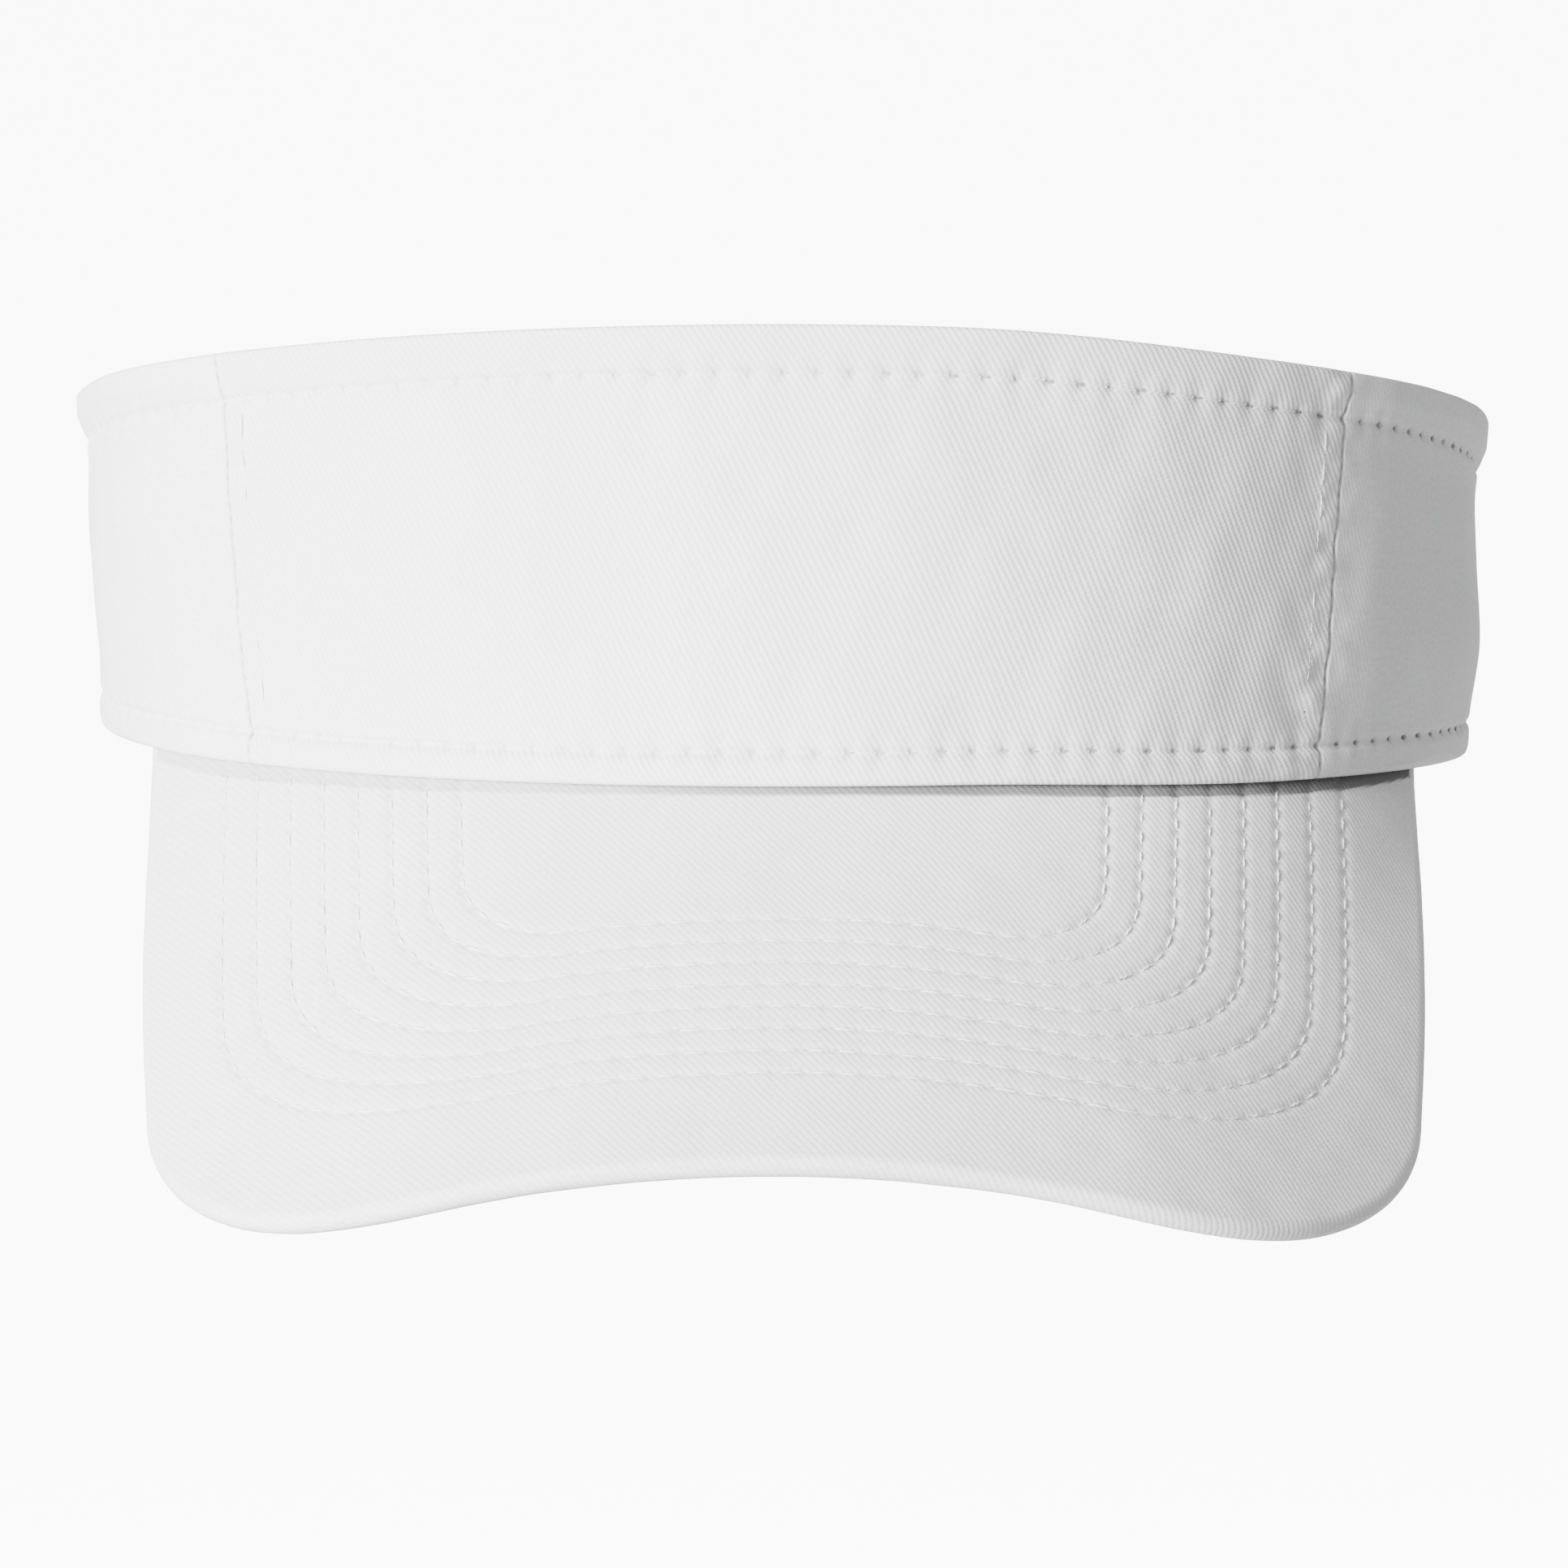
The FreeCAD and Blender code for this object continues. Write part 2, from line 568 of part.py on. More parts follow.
def make_buckle_lever():
    """A barrel on the pin, a gripping tooth under it and a plate that folds over the strap."""
    body = new_body("buckle_lever")
    length = f"{CHEEK_INNER} - 2 * <lever_side_clearance>"
    barrel = new_sketch(body, "barrel_circle")
    circle(barrel, "<pin_offset>", "<pin_level>", "<barrel_radius>")
    pad(body, "barrel", barrel, length)
    plate = new_sketch(body, "plate_profile")
    top = "<pin_level> + <barrel_radius>"
    end = "<pin_offset> - <lever_reach>"
    polygon(plate, [
        (end, f"{top} - <lever_thickness>"), ("<pin_offset>", f"{top} - <lever_thickness>"),
        ("<pin_offset>", top), (end, top),
    ])
    pad(body, "plate", plate, length)
    tooth = new_sketch(body, "tooth_profile")
    tip = "<pin_level> - <barrel_radius> - <tooth_depth>"
    polygon(tooth, [
        ("<pin_offset> - <tooth_width> / 2", "<pin_level> - <barrel_radius> / 2"),
        ("<pin_offset>", tip), ("<pin_offset> + <tooth_width> / 2", "<pin_level> - <barrel_radius> / 2"),
    ])
    pad(body, "tooth", tooth, length)
    bore = new_sketch(body, "bore_circle")
    circle(bore, "<pin_offset>", "<pin_level>", "<pin_radius> + <pin_clearance>")
    pocket_through(body, "bore", bore)
    place_on_strap(body)
    return body


def make_buckle_loop(panel):
    """A folded tab: a sleeve around the buckle's bar and a strip that meets the panel's end."""
    sleeve = new_body("loop_sleeve")
    ring = new_sketch(sleeve, "sleeve_rings")
    hole = "<bar_radius> + <loop_clearance>"
    height = f"{CHEEK_INNER} - 2 * <loop_side_clearance>"
    circle(ring, "-<bar_offset>", "<bar_level>", f"{hole} + <loop_thickness>")
    circle(ring, "-<bar_offset>", "<bar_level>", hole)
    pad(sleeve, "sleeve", ring, height)
    place_on_strap(sleeve)

    strip = new_body("loop_strip")
    sketch = new_sketch(strip, "strip_profile")
    raise_sketch(sketch, STRAP_MIDDLE)
    _, centre, radius = back_arc(STRAP_MIDDLE)
    bar_turn = f"atan((<bar_offset> + {hole} + <loop_thickness> / 2) / ({STRAP_RADIUS})) / (1 deg)"
    ring_sector(sketch, "0", centre, radius, f"{radius} - <panel_thickness>",
                f"90 + <buckle_angle> + {bar_turn}", "90 + <end_angle> + <loop_overrun>")
    pad(strip, "strip", sketch, height)

    joined = doc.addObject("Part::MultiFuse", "loop_blank")
    joined.Shapes = [sleeve, strip]
    return cut_away("buckle_loop", joined, panel)


# ---------------------------------------------------------------- build and write
def make_everything():
    nodes = [make_panel("front_panel", [(front_arc, ("-<seam_angle>", "<seam_angle>"), 1)])]
    for side, word in ((1, "left"), (-1, "right")):
        spans = [(side_arc, SIDE_SPAN, side), (back_arc, BACK_SPAN, side)]
        side_panel = make_panel(f"{word}_side_panel", spans)
        nodes.extend([side_panel, make_seam_tape(f"{word}_seam_tape", side)])
    nodes.append(make_interlining())
    nodes.append(make_sweatband())
    nodes.extend(make_bill())
    nodes.append(make_strap())
    nodes.extend([make_buckle_frame(), make_buckle_pin(), make_buckle_lever()])
    nodes.append(make_buckle_loop(side_panel))
    return nodes


nodes = make_everything()
doc.recompute()
for item in doc.Objects:
    if {"Invalid", "Error"} & set(item.State):
        raise RuntimeError(f"{item.Label} failed: {item.State}")
for node in nodes:
    if node.Shape.isNull() or not node.Shape.isValid() or len(node.Shape.Solids) != 1:
        raise RuntimeError(f"{node.Label} is not one sound solid")

os.makedirs("parts", exist_ok=True)
for node in nodes:
    node.Shape.exportStep(f"parts/{node.Label}.step")
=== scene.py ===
import math

import bpy
import numpy as np
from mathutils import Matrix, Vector


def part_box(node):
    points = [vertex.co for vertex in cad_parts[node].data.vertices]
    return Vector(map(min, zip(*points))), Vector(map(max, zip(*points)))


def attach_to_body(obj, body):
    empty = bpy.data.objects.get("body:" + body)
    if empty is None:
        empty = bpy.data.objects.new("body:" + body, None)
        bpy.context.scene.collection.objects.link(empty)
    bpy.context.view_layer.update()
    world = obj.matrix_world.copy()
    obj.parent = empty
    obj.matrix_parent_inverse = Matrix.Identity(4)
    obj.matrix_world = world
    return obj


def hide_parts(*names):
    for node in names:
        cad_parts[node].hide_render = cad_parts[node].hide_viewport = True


# The looks of a white cotton sun visor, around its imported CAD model.
# Shapes are worked out in millimetres, in the CAD's own frame, and become metres in make_mesh.

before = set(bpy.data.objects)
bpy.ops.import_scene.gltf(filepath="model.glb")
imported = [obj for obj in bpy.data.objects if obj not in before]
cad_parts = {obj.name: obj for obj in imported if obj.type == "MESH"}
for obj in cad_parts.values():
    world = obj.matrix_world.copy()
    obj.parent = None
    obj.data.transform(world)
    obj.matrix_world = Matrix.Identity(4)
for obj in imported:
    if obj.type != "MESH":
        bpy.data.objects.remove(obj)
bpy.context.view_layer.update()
MM = 0.001
rng = np.random.default_rng(7)

# ---- sizes, as in the CAD model
LEVEL_LOW, LEVEL_HIGH = -8.0, 64.0
HALF_WIDTH, FLARE = 94.8, 3.6
OFFSET_LOW, OFFSET_HIGH, CENTRE_HIGH = 5.8, 18.9, 0.7
SEAM, BACK, PANEL_END = 46.5, 60.0, 24.0
PANEL = 1.2
BOTTOM_HEM, TOP_HEM = 4.4, 6.4
SWEATBAND_DEPTH, SWEATBAND = 3.7, 1.6
TAPE, TAPE_GAP = 4.0, 0.5           # half a seam tape and the gap beside it, in degrees of the band
END_ROUND, END_HEM = 2.4, 4.8       # the corners at the band's ends and the stitching beside them
BILL_SLOPE, BILL_DROP, BILL_BEND = math.radians(34.5), 1.0, 1.206
BILL_LENGTH, BILL_REAR, BILL_TAPER = 73.3, 52.0, math.radians(3.1)
BILL_FRONT_RADIUS, BILL_CORNER, BILL_SIDE_SETBACK = 1700.0, 42.0, 7.1
BILL_THICK = 3.2
STRAP_WIDTH, STRAP_THICK, CASING_CLEARANCE = 19.0, 1.3, 0.6
BUCKLE_ANGLE = math.radians(16.5)

# The edges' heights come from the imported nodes.
FRONT_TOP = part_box("front_panel")[1].z / MM
STRAP_LOW, STRAP_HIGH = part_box("adjuster_strap")[0].z / MM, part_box("adjuster_strap")[1].z / MM
STRAP_MIDDLE = (STRAP_LOW + STRAP_HIGH) / 2
BACK_RISE, BACK_MARGIN, SWEATBAND_FRONT, SWEATBAND_MARGIN = 3.0, 4.3, 33.0, 1.5


# ---- the band's oval
def arcs_at(z):
    """Side arcs' offset, their centre's y and their radius, at a level."""
    share = (z - LEVEL_LOW) / (LEVEL_HIGH - LEVEL_LOW)
    offset = OFFSET_LOW + (OFFSET_HIGH - OFFSET_LOW) * share
    return offset, CENTRE_HIGH * share, HALF_WIDTH + FLARE * share - offset


def back_arc(z):
    offset, centre, radius = arcs_at(z)
    return centre - offset / math.tan(math.radians(BACK)), radius + offset / math.sin(math.radians(BACK))


def oval(turn, z, depth):
    """x and y on the band, turn degrees from straight ahead (+ to the wearer's left), depth inwards."""
    turn, z = np.broadcast_arrays(np.asarray(turn, float), np.asarray(z, float))
    offset, centre, radius = arcs_at(z)
    seam, back = math.radians(SEAM), math.radians(BACK)
    ahead, behind = np.abs(turn) <= SEAM, np.abs(turn) >= 180 - BACK
    cy = np.where(ahead, centre + offset / math.tan(seam), centre)
    cy = np.where(behind, centre - offset / math.tan(back), cy)
    r = np.where(ahead, radius + offset / math.sin(seam), radius)
    r = np.where(behind, radius + offset / math.sin(back), r) - depth
    cx = np.where(ahead | behind, 0.0, offset)
    angle = np.radians(np.abs(turn))
    return np.sign(turn) * (cx + r * np.sin(angle)), cy - r * np.cos(angle)


REACH = float(-oval(0.0, 0.0, 0.0)[1])
TABLE_TURN = np.linspace(-180, 180, 3601)
TABLE_XY = np.stack(oval(TABLE_TURN, 25.0, 0.0), 1)
TABLE_ARC = np.concatenate([[0], np.cumsum(np.hypot(*np.diff(TABLE_XY, axis=0).T))])
TABLE_ARC -= TABLE_ARC[len(TABLE_ARC) // 2]


def along(turn):
    """Distance around the band from straight ahead."""
    return np.interp(turn, TABLE_TURN, TABLE_ARC)


def turn_at(distance):
    return np.interp(distance, TABLE_ARC, TABLE_TURN)


def edge(front, back, y):
    return front + (back - front) * (y + REACH) / (2 * REACH)


def end_corner(turn):
    """How far the rounded corners at the band's two ends take its edges in."""
    left = np.clip(END_ROUND - (along(180 - PANEL_END) - np.abs(along(turn))), 0, END_ROUND)
    return END_ROUND - np.sqrt(END_ROUND ** 2 - left ** 2)


def band_bottom(turn):
    return edge(0.0, BACK_RISE, oval(turn, 2.0, 0.0)[1]) + end_corner(turn)


def band_top(turn):
    y = oval(turn, 50.0, 0.0)[1]
    return edge(FRONT_TOP, STRAP_HIGH + BACK_MARGIN, y) - end_corner(turn)


def ease(value):
    """0 to 1 with soft ends, as value goes from 0 to 1."""
    share = np.clip(value, 0, 1)
    return share * share * (3 - 2 * share)


def lean(x, y, z):
    """The band lies a little crooked, as the real one does: it hangs lower at the wearer's left side."""
    fade = ease((62 - y) / 60)
    up = np.clip(z / 60, 0, 1)
    hang = ease((x - 22) / 45) * ((1 - up) * ease((52 - y) / 60) + up * ease((-18 - y) / 42))
    return z - 0.0235 * (y + REACH) * (x / 95) * fade * (0.75 + 0.25 * z / 60) - 1.15 * hang


# ---- smooth irregularity and meshes
def ripple(u, v, size, seed, waves=9):
    """A smooth random field of about unit height whose features are about size across."""
    draw = np.random.default_rng(seed)
    total = np.zeros(np.broadcast(u, v).shape)
    for _ in range(waves):
        angle, phase = draw.uniform(0, 2 * math.pi, 2)
        length = size * draw.uniform(0.7, 1.6)
        total += np.sin(2 * math.pi * (u * math.cos(angle) + v * math.sin(angle)) / length + phase)
    return total / math.sqrt(waves / 2) / 1.6


def bump(distance, width):
    return np.exp(-(distance / width) ** 2)


def make_mesh(name, points, faces, material, cloth=None, hole=None, smooth=True):
    """points in millimetres; cloth is each point's place on the flat cloth, hole how dark it is painted
    there: painted shade in needle holes, seam ditches and folds, and painted shadow under the band's edge.
    """
    mesh = bpy.data.meshes.new(name)
    mesh.from_pydata((np.asarray(points) * MM).tolist(), [], [list(map(int, f)) for f in faces])
    flat = np.zeros((len(points), 3), np.float32)
    if cloth is not None:
        flat[:, :cloth.shape[1]] = cloth
    else:
        flat[:] = points
    mesh.attributes.new("cloth", "FLOAT_VECTOR", "POINT").data.foreach_set("vector", flat.ravel())
    dark = np.zeros(len(points), np.float32) if hole is None else np.asarray(hole, np.float32)
    mesh.attributes.new("hole", "FLOAT", "POINT").data.foreach_set("value", dark)
    mesh.polygons.foreach_set("use_smooth", [smooth] * len(mesh.polygons))
    mesh.materials.append(material)
    mesh.update()
    made = bpy.data.objects.new(name, mesh)
    bpy.context.scene.collection.objects.link(made)
    return made


def attach(made, body, node=None):
    """Let a finished piece ride on its body and stand for its CAD node."""
    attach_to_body(made, body)
    if node:
        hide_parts(node)


def distances(points):
    """How far along a line each of its points is."""
    return np.concatenate([[0], np.cumsum(np.linalg.norm(np.diff(points, axis=0), axis=1))])


def points_at(points, at):
    """The points at some distances along a line."""
    gone = distances(points)
    return np.stack([np.interp(at, gone, column) for column in points.T], 1)


def every(points, spacing):
    return points_at(points, np.arange(0, distances(points)[-1], spacing))


def even(points, count):
    return points_at(points, np.linspace(0, distances(points)[-1], count))


def grid_faces(rows, columns, closed=False, flip=False):
    """Quads over a grid of points stored row by row; closed joins the last column to the first."""
    i, j = np.meshgrid(np.arange(rows - 1), np.arange(columns if closed else columns - 1), indexing="ij")
    nxt = (j + 1) % columns
    quads = np.stack([i * columns + j, i * columns + nxt, (i + 1) * columns + nxt, (i + 1) * columns + j], -1)
    quads = quads.reshape(-1, 4)
    return quads[:, ::-1] if flip else quads


def swept(name, loops, material, cloth, hole=None, flip=False):
    """A closed skin over a row of closed profile loops, with its two ends capped. loops is (n, m, 3)."""
    n, m, _ = loops.shape
    faces = list(grid_faces(n, m, closed=True, flip=flip))
    first, last = list(range(m)), list(range((n - 1) * m, n * m))
    faces += [first[::-1], last] if not flip else [first, last[::-1]]
    dark = None if hole is None else hole.reshape(-1)
    return make_mesh(name, loops.reshape(-1, 3), faces, material, cloth.reshape(n * m, -1), dark)


PIT_SIDES, PIT_LIFT = 8, 0.05
UNEVEN = 0.05        # how far a thread's ends stray


def needle_pits(starts, ahead, across, outward, size):
    """Small dents at the needle holes, painted dark as painted shade: their points, triangles and darkness.
    """
    count = len(starts)
    middle = starts - ahead * (0.35 * size) + outward * PIT_LIFT
    spread = size * rng.uniform(0.75, 1.15, (count, 1))
    rim = [middle + spread * (1.25 * math.cos(a) * ahead + 0.85 * math.sin(a) * across)
           for a in np.linspace(0, 2 * math.pi, PIT_SIDES, endpoint=False)]
    points = np.stack([middle, *rim], 1)
    # painted shade: each pit's darkness, greater toward the wearer's left (+x) and greater at its middle than
    # at its rim
    pit_shade = rng.uniform(0.25, 0.85, count) * (0.55 + 0.45 * np.clip(starts[:, 0] / 60, -1, 1))
    dark = pit_shade[:, None] * np.where(np.arange(PIT_SIDES + 1) == 0, 1.15, 0.75)
    faces = []
    for low in range(0, count * (PIT_SIDES + 1), PIT_SIDES + 1):
        faces += [[low, low + 1 + (k + 1) % PIT_SIDES, low + 1 + k] for k in range(PIT_SIDES)]
    return points.reshape(-1, 3), faces, dark.ravel()


def stitches(name, starts, ends, outward, radius=0.27, rise=0.16, sides=7, rings=8, pit=0.3):
    """One short raised thread per stitch, each from hole to hole, and the dents of the needle holes, painted
    dark as painted shade.
    """
    starts, ends, outward = (np.asarray(a, float) for a in (starts, ends, outward))
    uneven = rng.normal(0, UNEVEN, starts.shape)
    starts, ends = starts + uneven, ends + np.roll(uneven, 1, axis=0) * 0.6
    run = ends - starts
    ahead = run / np.linalg.norm(run, axis=1, keepdims=True)
    outward = outward - ahead * (outward * ahead).sum(1, keepdims=True)
    outward /= np.linalg.norm(outward, axis=1, keepdims=True)
    across = np.cross(ahead, outward)
    share = np.linspace(0, 1, rings)
    swell = np.sqrt(np.clip(np.sin(math.pi * (0.04 + 0.92 * share)), 0, 1))
    points = []
    for t, fat in zip(share, swell):
        middle = starts + run * t + outward * (rise * math.sin(math.pi * t) - 0.55 * radius * (1 - fat))
        for k in range(sides):
            a = 2 * math.pi * k / sides
            points.append(middle + fat * radius * (math.cos(a) * across + 0.8 * math.sin(a) * outward))
    count, size = len(starts), rings * sides
    points = np.stack(points, 1).reshape(-1, 3)
    tube = grid_faces(rings, sides, closed=True, flip=True)
    faces = [q for s in range(count) for q in tube + s * size]
    for low in range(0, count * size, size):
        faces.append(list(range(low, low + sides))[::-1])
        faces.append(list(range(low + size - sides, low + size)))
    turns = np.stack(np.meshgrid(np.arange(rings) * 0.5, np.arange(sides) * 0.3, indexing="ij"), -1)
    cloth = np.tile(turns.reshape(-1, 2), (count, 1)) + np.repeat(np.arange(count), size)[:, None] * 3.0
    pits, pit_faces, dark = needle_pits(starts, ahead, across, outward, pit)
    faces += [[len(points) + i for i in face] for face in pit_faces]
    cloth = np.concatenate([cloth, np.zeros((len(pits), 2))])
    dark = np.concatenate([np.zeros(len(points)), dark])
    return make_mesh(name, np.concatenate([points, pits]), faces, sewing_thread, cloth, dark)


# ---- materials
class Nodes:
    """A short way to write a node tree."""

    def __init__(self, name):
        self.material = bpy.data.materials.new(name)
        self.material.use_nodes = True
        self.tree = self.material.node_tree
        self.shader = self.tree.nodes["Principled BSDF"]

    def add(self, kind, inputs=(), **settings):
        node = self.tree.nodes.new(kind)
        for key, value in settings.items():
            setattr(node, key, value)
        for index, value in inputs:
            if hasattr(value, "is_output"):
                self.tree.links.new(value, node.inputs[index])
            else:
                node.inputs[index].default_value = value
        return node

    def math(self, operation, a, b=0.0):
        return self.add("ShaderNodeMath", [(0, a), (1, b)], operation=operation).outputs[0]

    def product(self, *values):
        result = values[0]
        for value in values[1:]:
            result = self.math("MULTIPLY", result, value)
        return result

    def range(self, value, low, high):
        """low where value is 0, high where it is 1."""
        return self.math("ADD", self.product(value, high - low), low)

    def attribute(self, name, output):
        return self.add("ShaderNodeAttribute", attribute_name=name).outputs[output]

    def noise(self, vector, scale, detail=2.0, roughness=0.5):
        inputs = [("Vector", vector), ("Scale", scale), ("Detail", detail), ("Roughness", roughness)]
        return self.add("ShaderNodeTexNoise", inputs).outputs["Fac"]

    def wave(self, vector, angle, pitch, shift=0.0):
        """0 to 1 across parallel lines whose direction is angle degrees from the cloth's first axis."""
        a = math.radians(angle + 90)
        across = (math.cos(a) / pitch, math.sin(a) / pitch, 0.0)
        turns = self.add("ShaderNodeVectorMath", [(0, vector), (1, across)], operation="DOT_PRODUCT")
        phase = self.product(self.math("ADD", turns.outputs["Value"], shift), 2 * math.pi)
        return self.range(self.math("SINE", phase), 0.5, 1.0)

    def mix(self, share, first, second):
        return self.add("ShaderNodeMix", [(0, share), (6, first), (7, second)], data_type="RGBA").outputs[2]

    def link(self, output, socket):
        self.tree.links.new(output, self.shader.inputs[socket])

    def tint(self, colour, *shades):
        """The base colour, made lighter or darker by shades around 1."""
        tone = self.add("ShaderNodeVectorMath", [(0, colour), (3, self.product(*shades))], operation="SCALE")
        self.link(tone.outputs["Vector"], "Base Color")

    def relief(self, height, strength, depth):
        bumps = self.add("ShaderNodeBump", [("Height", height), ("Strength", strength), ("Distance", depth)])
        self.link(bumps.outputs["Normal"], "Normal")

    def set(self, values):
        for socket, value in values.items():
            self.shader.inputs[socket].default_value = value


def cotton(name, colour, angle=-60.0, pitch=0.8, twill=1.0, fuzz=0.35, sheen=0.18):
    """Cotton twill: slanting ribs broken up by the weft, fuzz and faint unevenness, with painted shade along
    the ribs' low lines and wherever the hole attribute is set.
    """
    n = Nodes(name)
    place = n.attribute("cloth", "Vector")
    wander = n.product(n.noise(place, 0.12, 4.0, 0.6), 0.9)
    rib = n.wave(place, angle, pitch, wander)
    weft = n.wave(place, angle + 78.0, pitch * 0.62, n.product(wander, 0.7))
    cross = n.product(rib, n.range(weft, 0.62, 1.0))
    fibre = n.noise(place, 1.5, 5.0, 0.75)
    uneven = n.noise(place, 0.05, 3.0)
    # painted shade: darker along the weave's low lines, following the same ribs as the bump, and darker by
    # the hole attribute
    n.tint(colour,
           n.range(cross, 1.0 - 0.13 * twill, 1.0),
           n.range(uneven, 0.965, 1.03),
           n.range(fibre, 1.0 - 0.42 * fuzz, 1.0 + 0.32 * fuzz),
           n.range(n.attribute("hole", "Fac"), 1.0, 0.2))
    n.link(n.range(fibre, 0.82, 0.98), "Roughness")
    n.relief(n.math("ADD", n.product(cross, twill), n.product(fibre, fuzz)), 0.5, 0.00011)
    n.set({"Specular IOR Level": 0.22, "Sheen Weight": sheen, "Sheen Roughness": 0.5})
    return n.material


def thread(name, colour):
    """Twisted sewing thread, painted darker in the twist's grooves as painted shade; the needle-hole pits
    take their painted shade from the hole attribute.
    """
    n = Nodes(name)
    place = n.attribute("cloth", "Vector")
    twist = n.wave(place, 40.0, 0.55)
    fibre = n.noise(place, 4.0, 3.0)
    # painted shade in the twist's grooves, and the pits' painted shade from the hole attribute
    n.tint(colour, n.range(twist, 0.9, 1.0), n.range(fibre, 0.95, 1.03),
           n.range(n.attribute("hole", "Fac"), 1.0, 0.0))
    n.link(n.range(fibre, 0.5, 0.7), "Roughness")
    n.relief(twist, 0.6, 0.00008)
    n.set({"Sheen Weight": 0.15})
    return n.material


def terry(name, colour):
    """Soft looped cotton, as on a sweatband, painted darker between its loops as painted shade."""
    n = Nodes(name)
    place = n.attribute("cloth", "Vector")
    cell = n.add("ShaderNodeTexVoronoi", [("Vector", place), ("Scale", 1.25)])
    loop = n.range(cell.outputs["Distance"], 1.0, 0.0)
    rows = n.wave(place, 0.0, 1.1)
    fibre = n.noise(place, 4.0, 4.0, 0.7)
    uneven = n.noise(place, 0.06, 3.0)
    # painted shade: darker between the loops, following the same loops as the bump
    n.tint(colour, n.range(loop, 0.86, 1.0), n.range(uneven, 0.95, 1.03))
    n.link(n.range(fibre, 0.88, 1.0), "Roughness")
    n.relief(n.math("ADD", n.math("ADD", loop, n.product(rows, 0.35)), n.product(fibre, 0.6)), 0.9, 0.00025)
    n.set({"Sheen Weight": 0.35, "Sheen Roughness": 0.6})
    return n.material


def brass(name):
    """Brushed brass, rubbed brighter along its raised edges and a little tarnished between."""
    n = Nodes(name)
    place = n.attribute("cloth", "Vector")
    fine = n.add("ShaderNodeVectorMath", [(0, place), (1, (9.0, 0.5, 9.0))], operation="MULTIPLY")
    brushed = n.noise(fine.outputs["Vector"], 1.0, 4.0, 0.6)
    tarnish = n.noise(place, 0.45, 4.0, 0.6)
    worn = n.add("ShaderNodeNewGeometry").outputs["Pointiness"]
    wear = n.add("ShaderNodeMapRange", [("Value", worn), ("From Min", 0.5), ("From Max", 0.6)])
    plain = n.mix(tarnish, (0.72, 0.50, 0.21, 1), (0.40, 0.27, 0.11, 1))
    n.link(n.mix(wear.outputs["Result"], plain, (0.86, 0.66, 0.34, 1)), "Base Color")
    n.link(n.math("ADD", n.range(brushed, 0.22, 0.42), n.product(tarnish, 0.12)), "Roughness")
    n.relief(brushed, 0.35, 0.00004)
    n.set({"Metallic": 1.0})
    return n.material


def board_plastic(name):
    n = Nodes(name)
    grain = n.noise(n.attribute("cloth", "Vector"), 0.9, 5.0, 0.7)
    n.tint((0.78, 0.78, 0.75), n.range(grain, 0.94, 1.04))
    n.link(n.range(grain, 0.45, 0.65), "Roughness")
    return n.material


WHITE = (0.86, 0.865, 0.87)
crown_cloth = cotton("crown_twill", WHITE, angle=-58.0, pitch=0.8, fuzz=0.55)
side_cloth = cotton("side_twill", WHITE, angle=-64.0, pitch=0.7, twill=0.35, fuzz=0.8)
bill_cloth = cotton("bill_twill", WHITE, angle=56.0, pitch=0.87, twill=0.72, fuzz=0.85)
strap_cloth = cotton("strap_twill", WHITE, angle=-45.0, pitch=0.7, twill=0.9)
stiffener_cloth = cotton("stiffener_weave", (0.8, 0.8, 0.77), angle=0.0, pitch=1.0, twill=1.0, fuzz=0.6)
tape_cloth = cotton("tape_weave", (0.84, 0.84, 0.83), angle=90.0, pitch=0.7, twill=0.8)
band_cloth = terry("sweatband_terry", (0.87, 0.87, 0.86))
sewing_thread = thread("sewing_thread", (0.9, 0.9, 0.895))
buckle_brass = brass("buckle_brass")


# ---- crown panels
STITCH, HEM_GROOVE = 4.3, 0.55
FELL, PUCKER = 3.6, 4.1         # from a seam to the topstitching beside it, and the puckers' pitch there
ROLL = 0.75                     # radius of the panels' folded edges
PANEL_RISE = 52.0               # height that a panel's cloth runs over, for its weave


def hem_lines(turns):
    """Distances around the band of the hems' needle holes, over a stretch of the band."""
    low, high = along(turns[0]), along(turns[1])
    return np.arange(math.ceil(low / STITCH), math.floor(high / STITCH) + 1) * STITCH


def hole_field(distance, off_line):
    """How deep in a needle hole a point is, by its distance along and off a line of stitches."""
    step = np.abs((distance / STITCH + 0.5) % 1.0 - 0.5) * STITCH
    return bump(step, 0.45) * bump(off_line, 0.42)


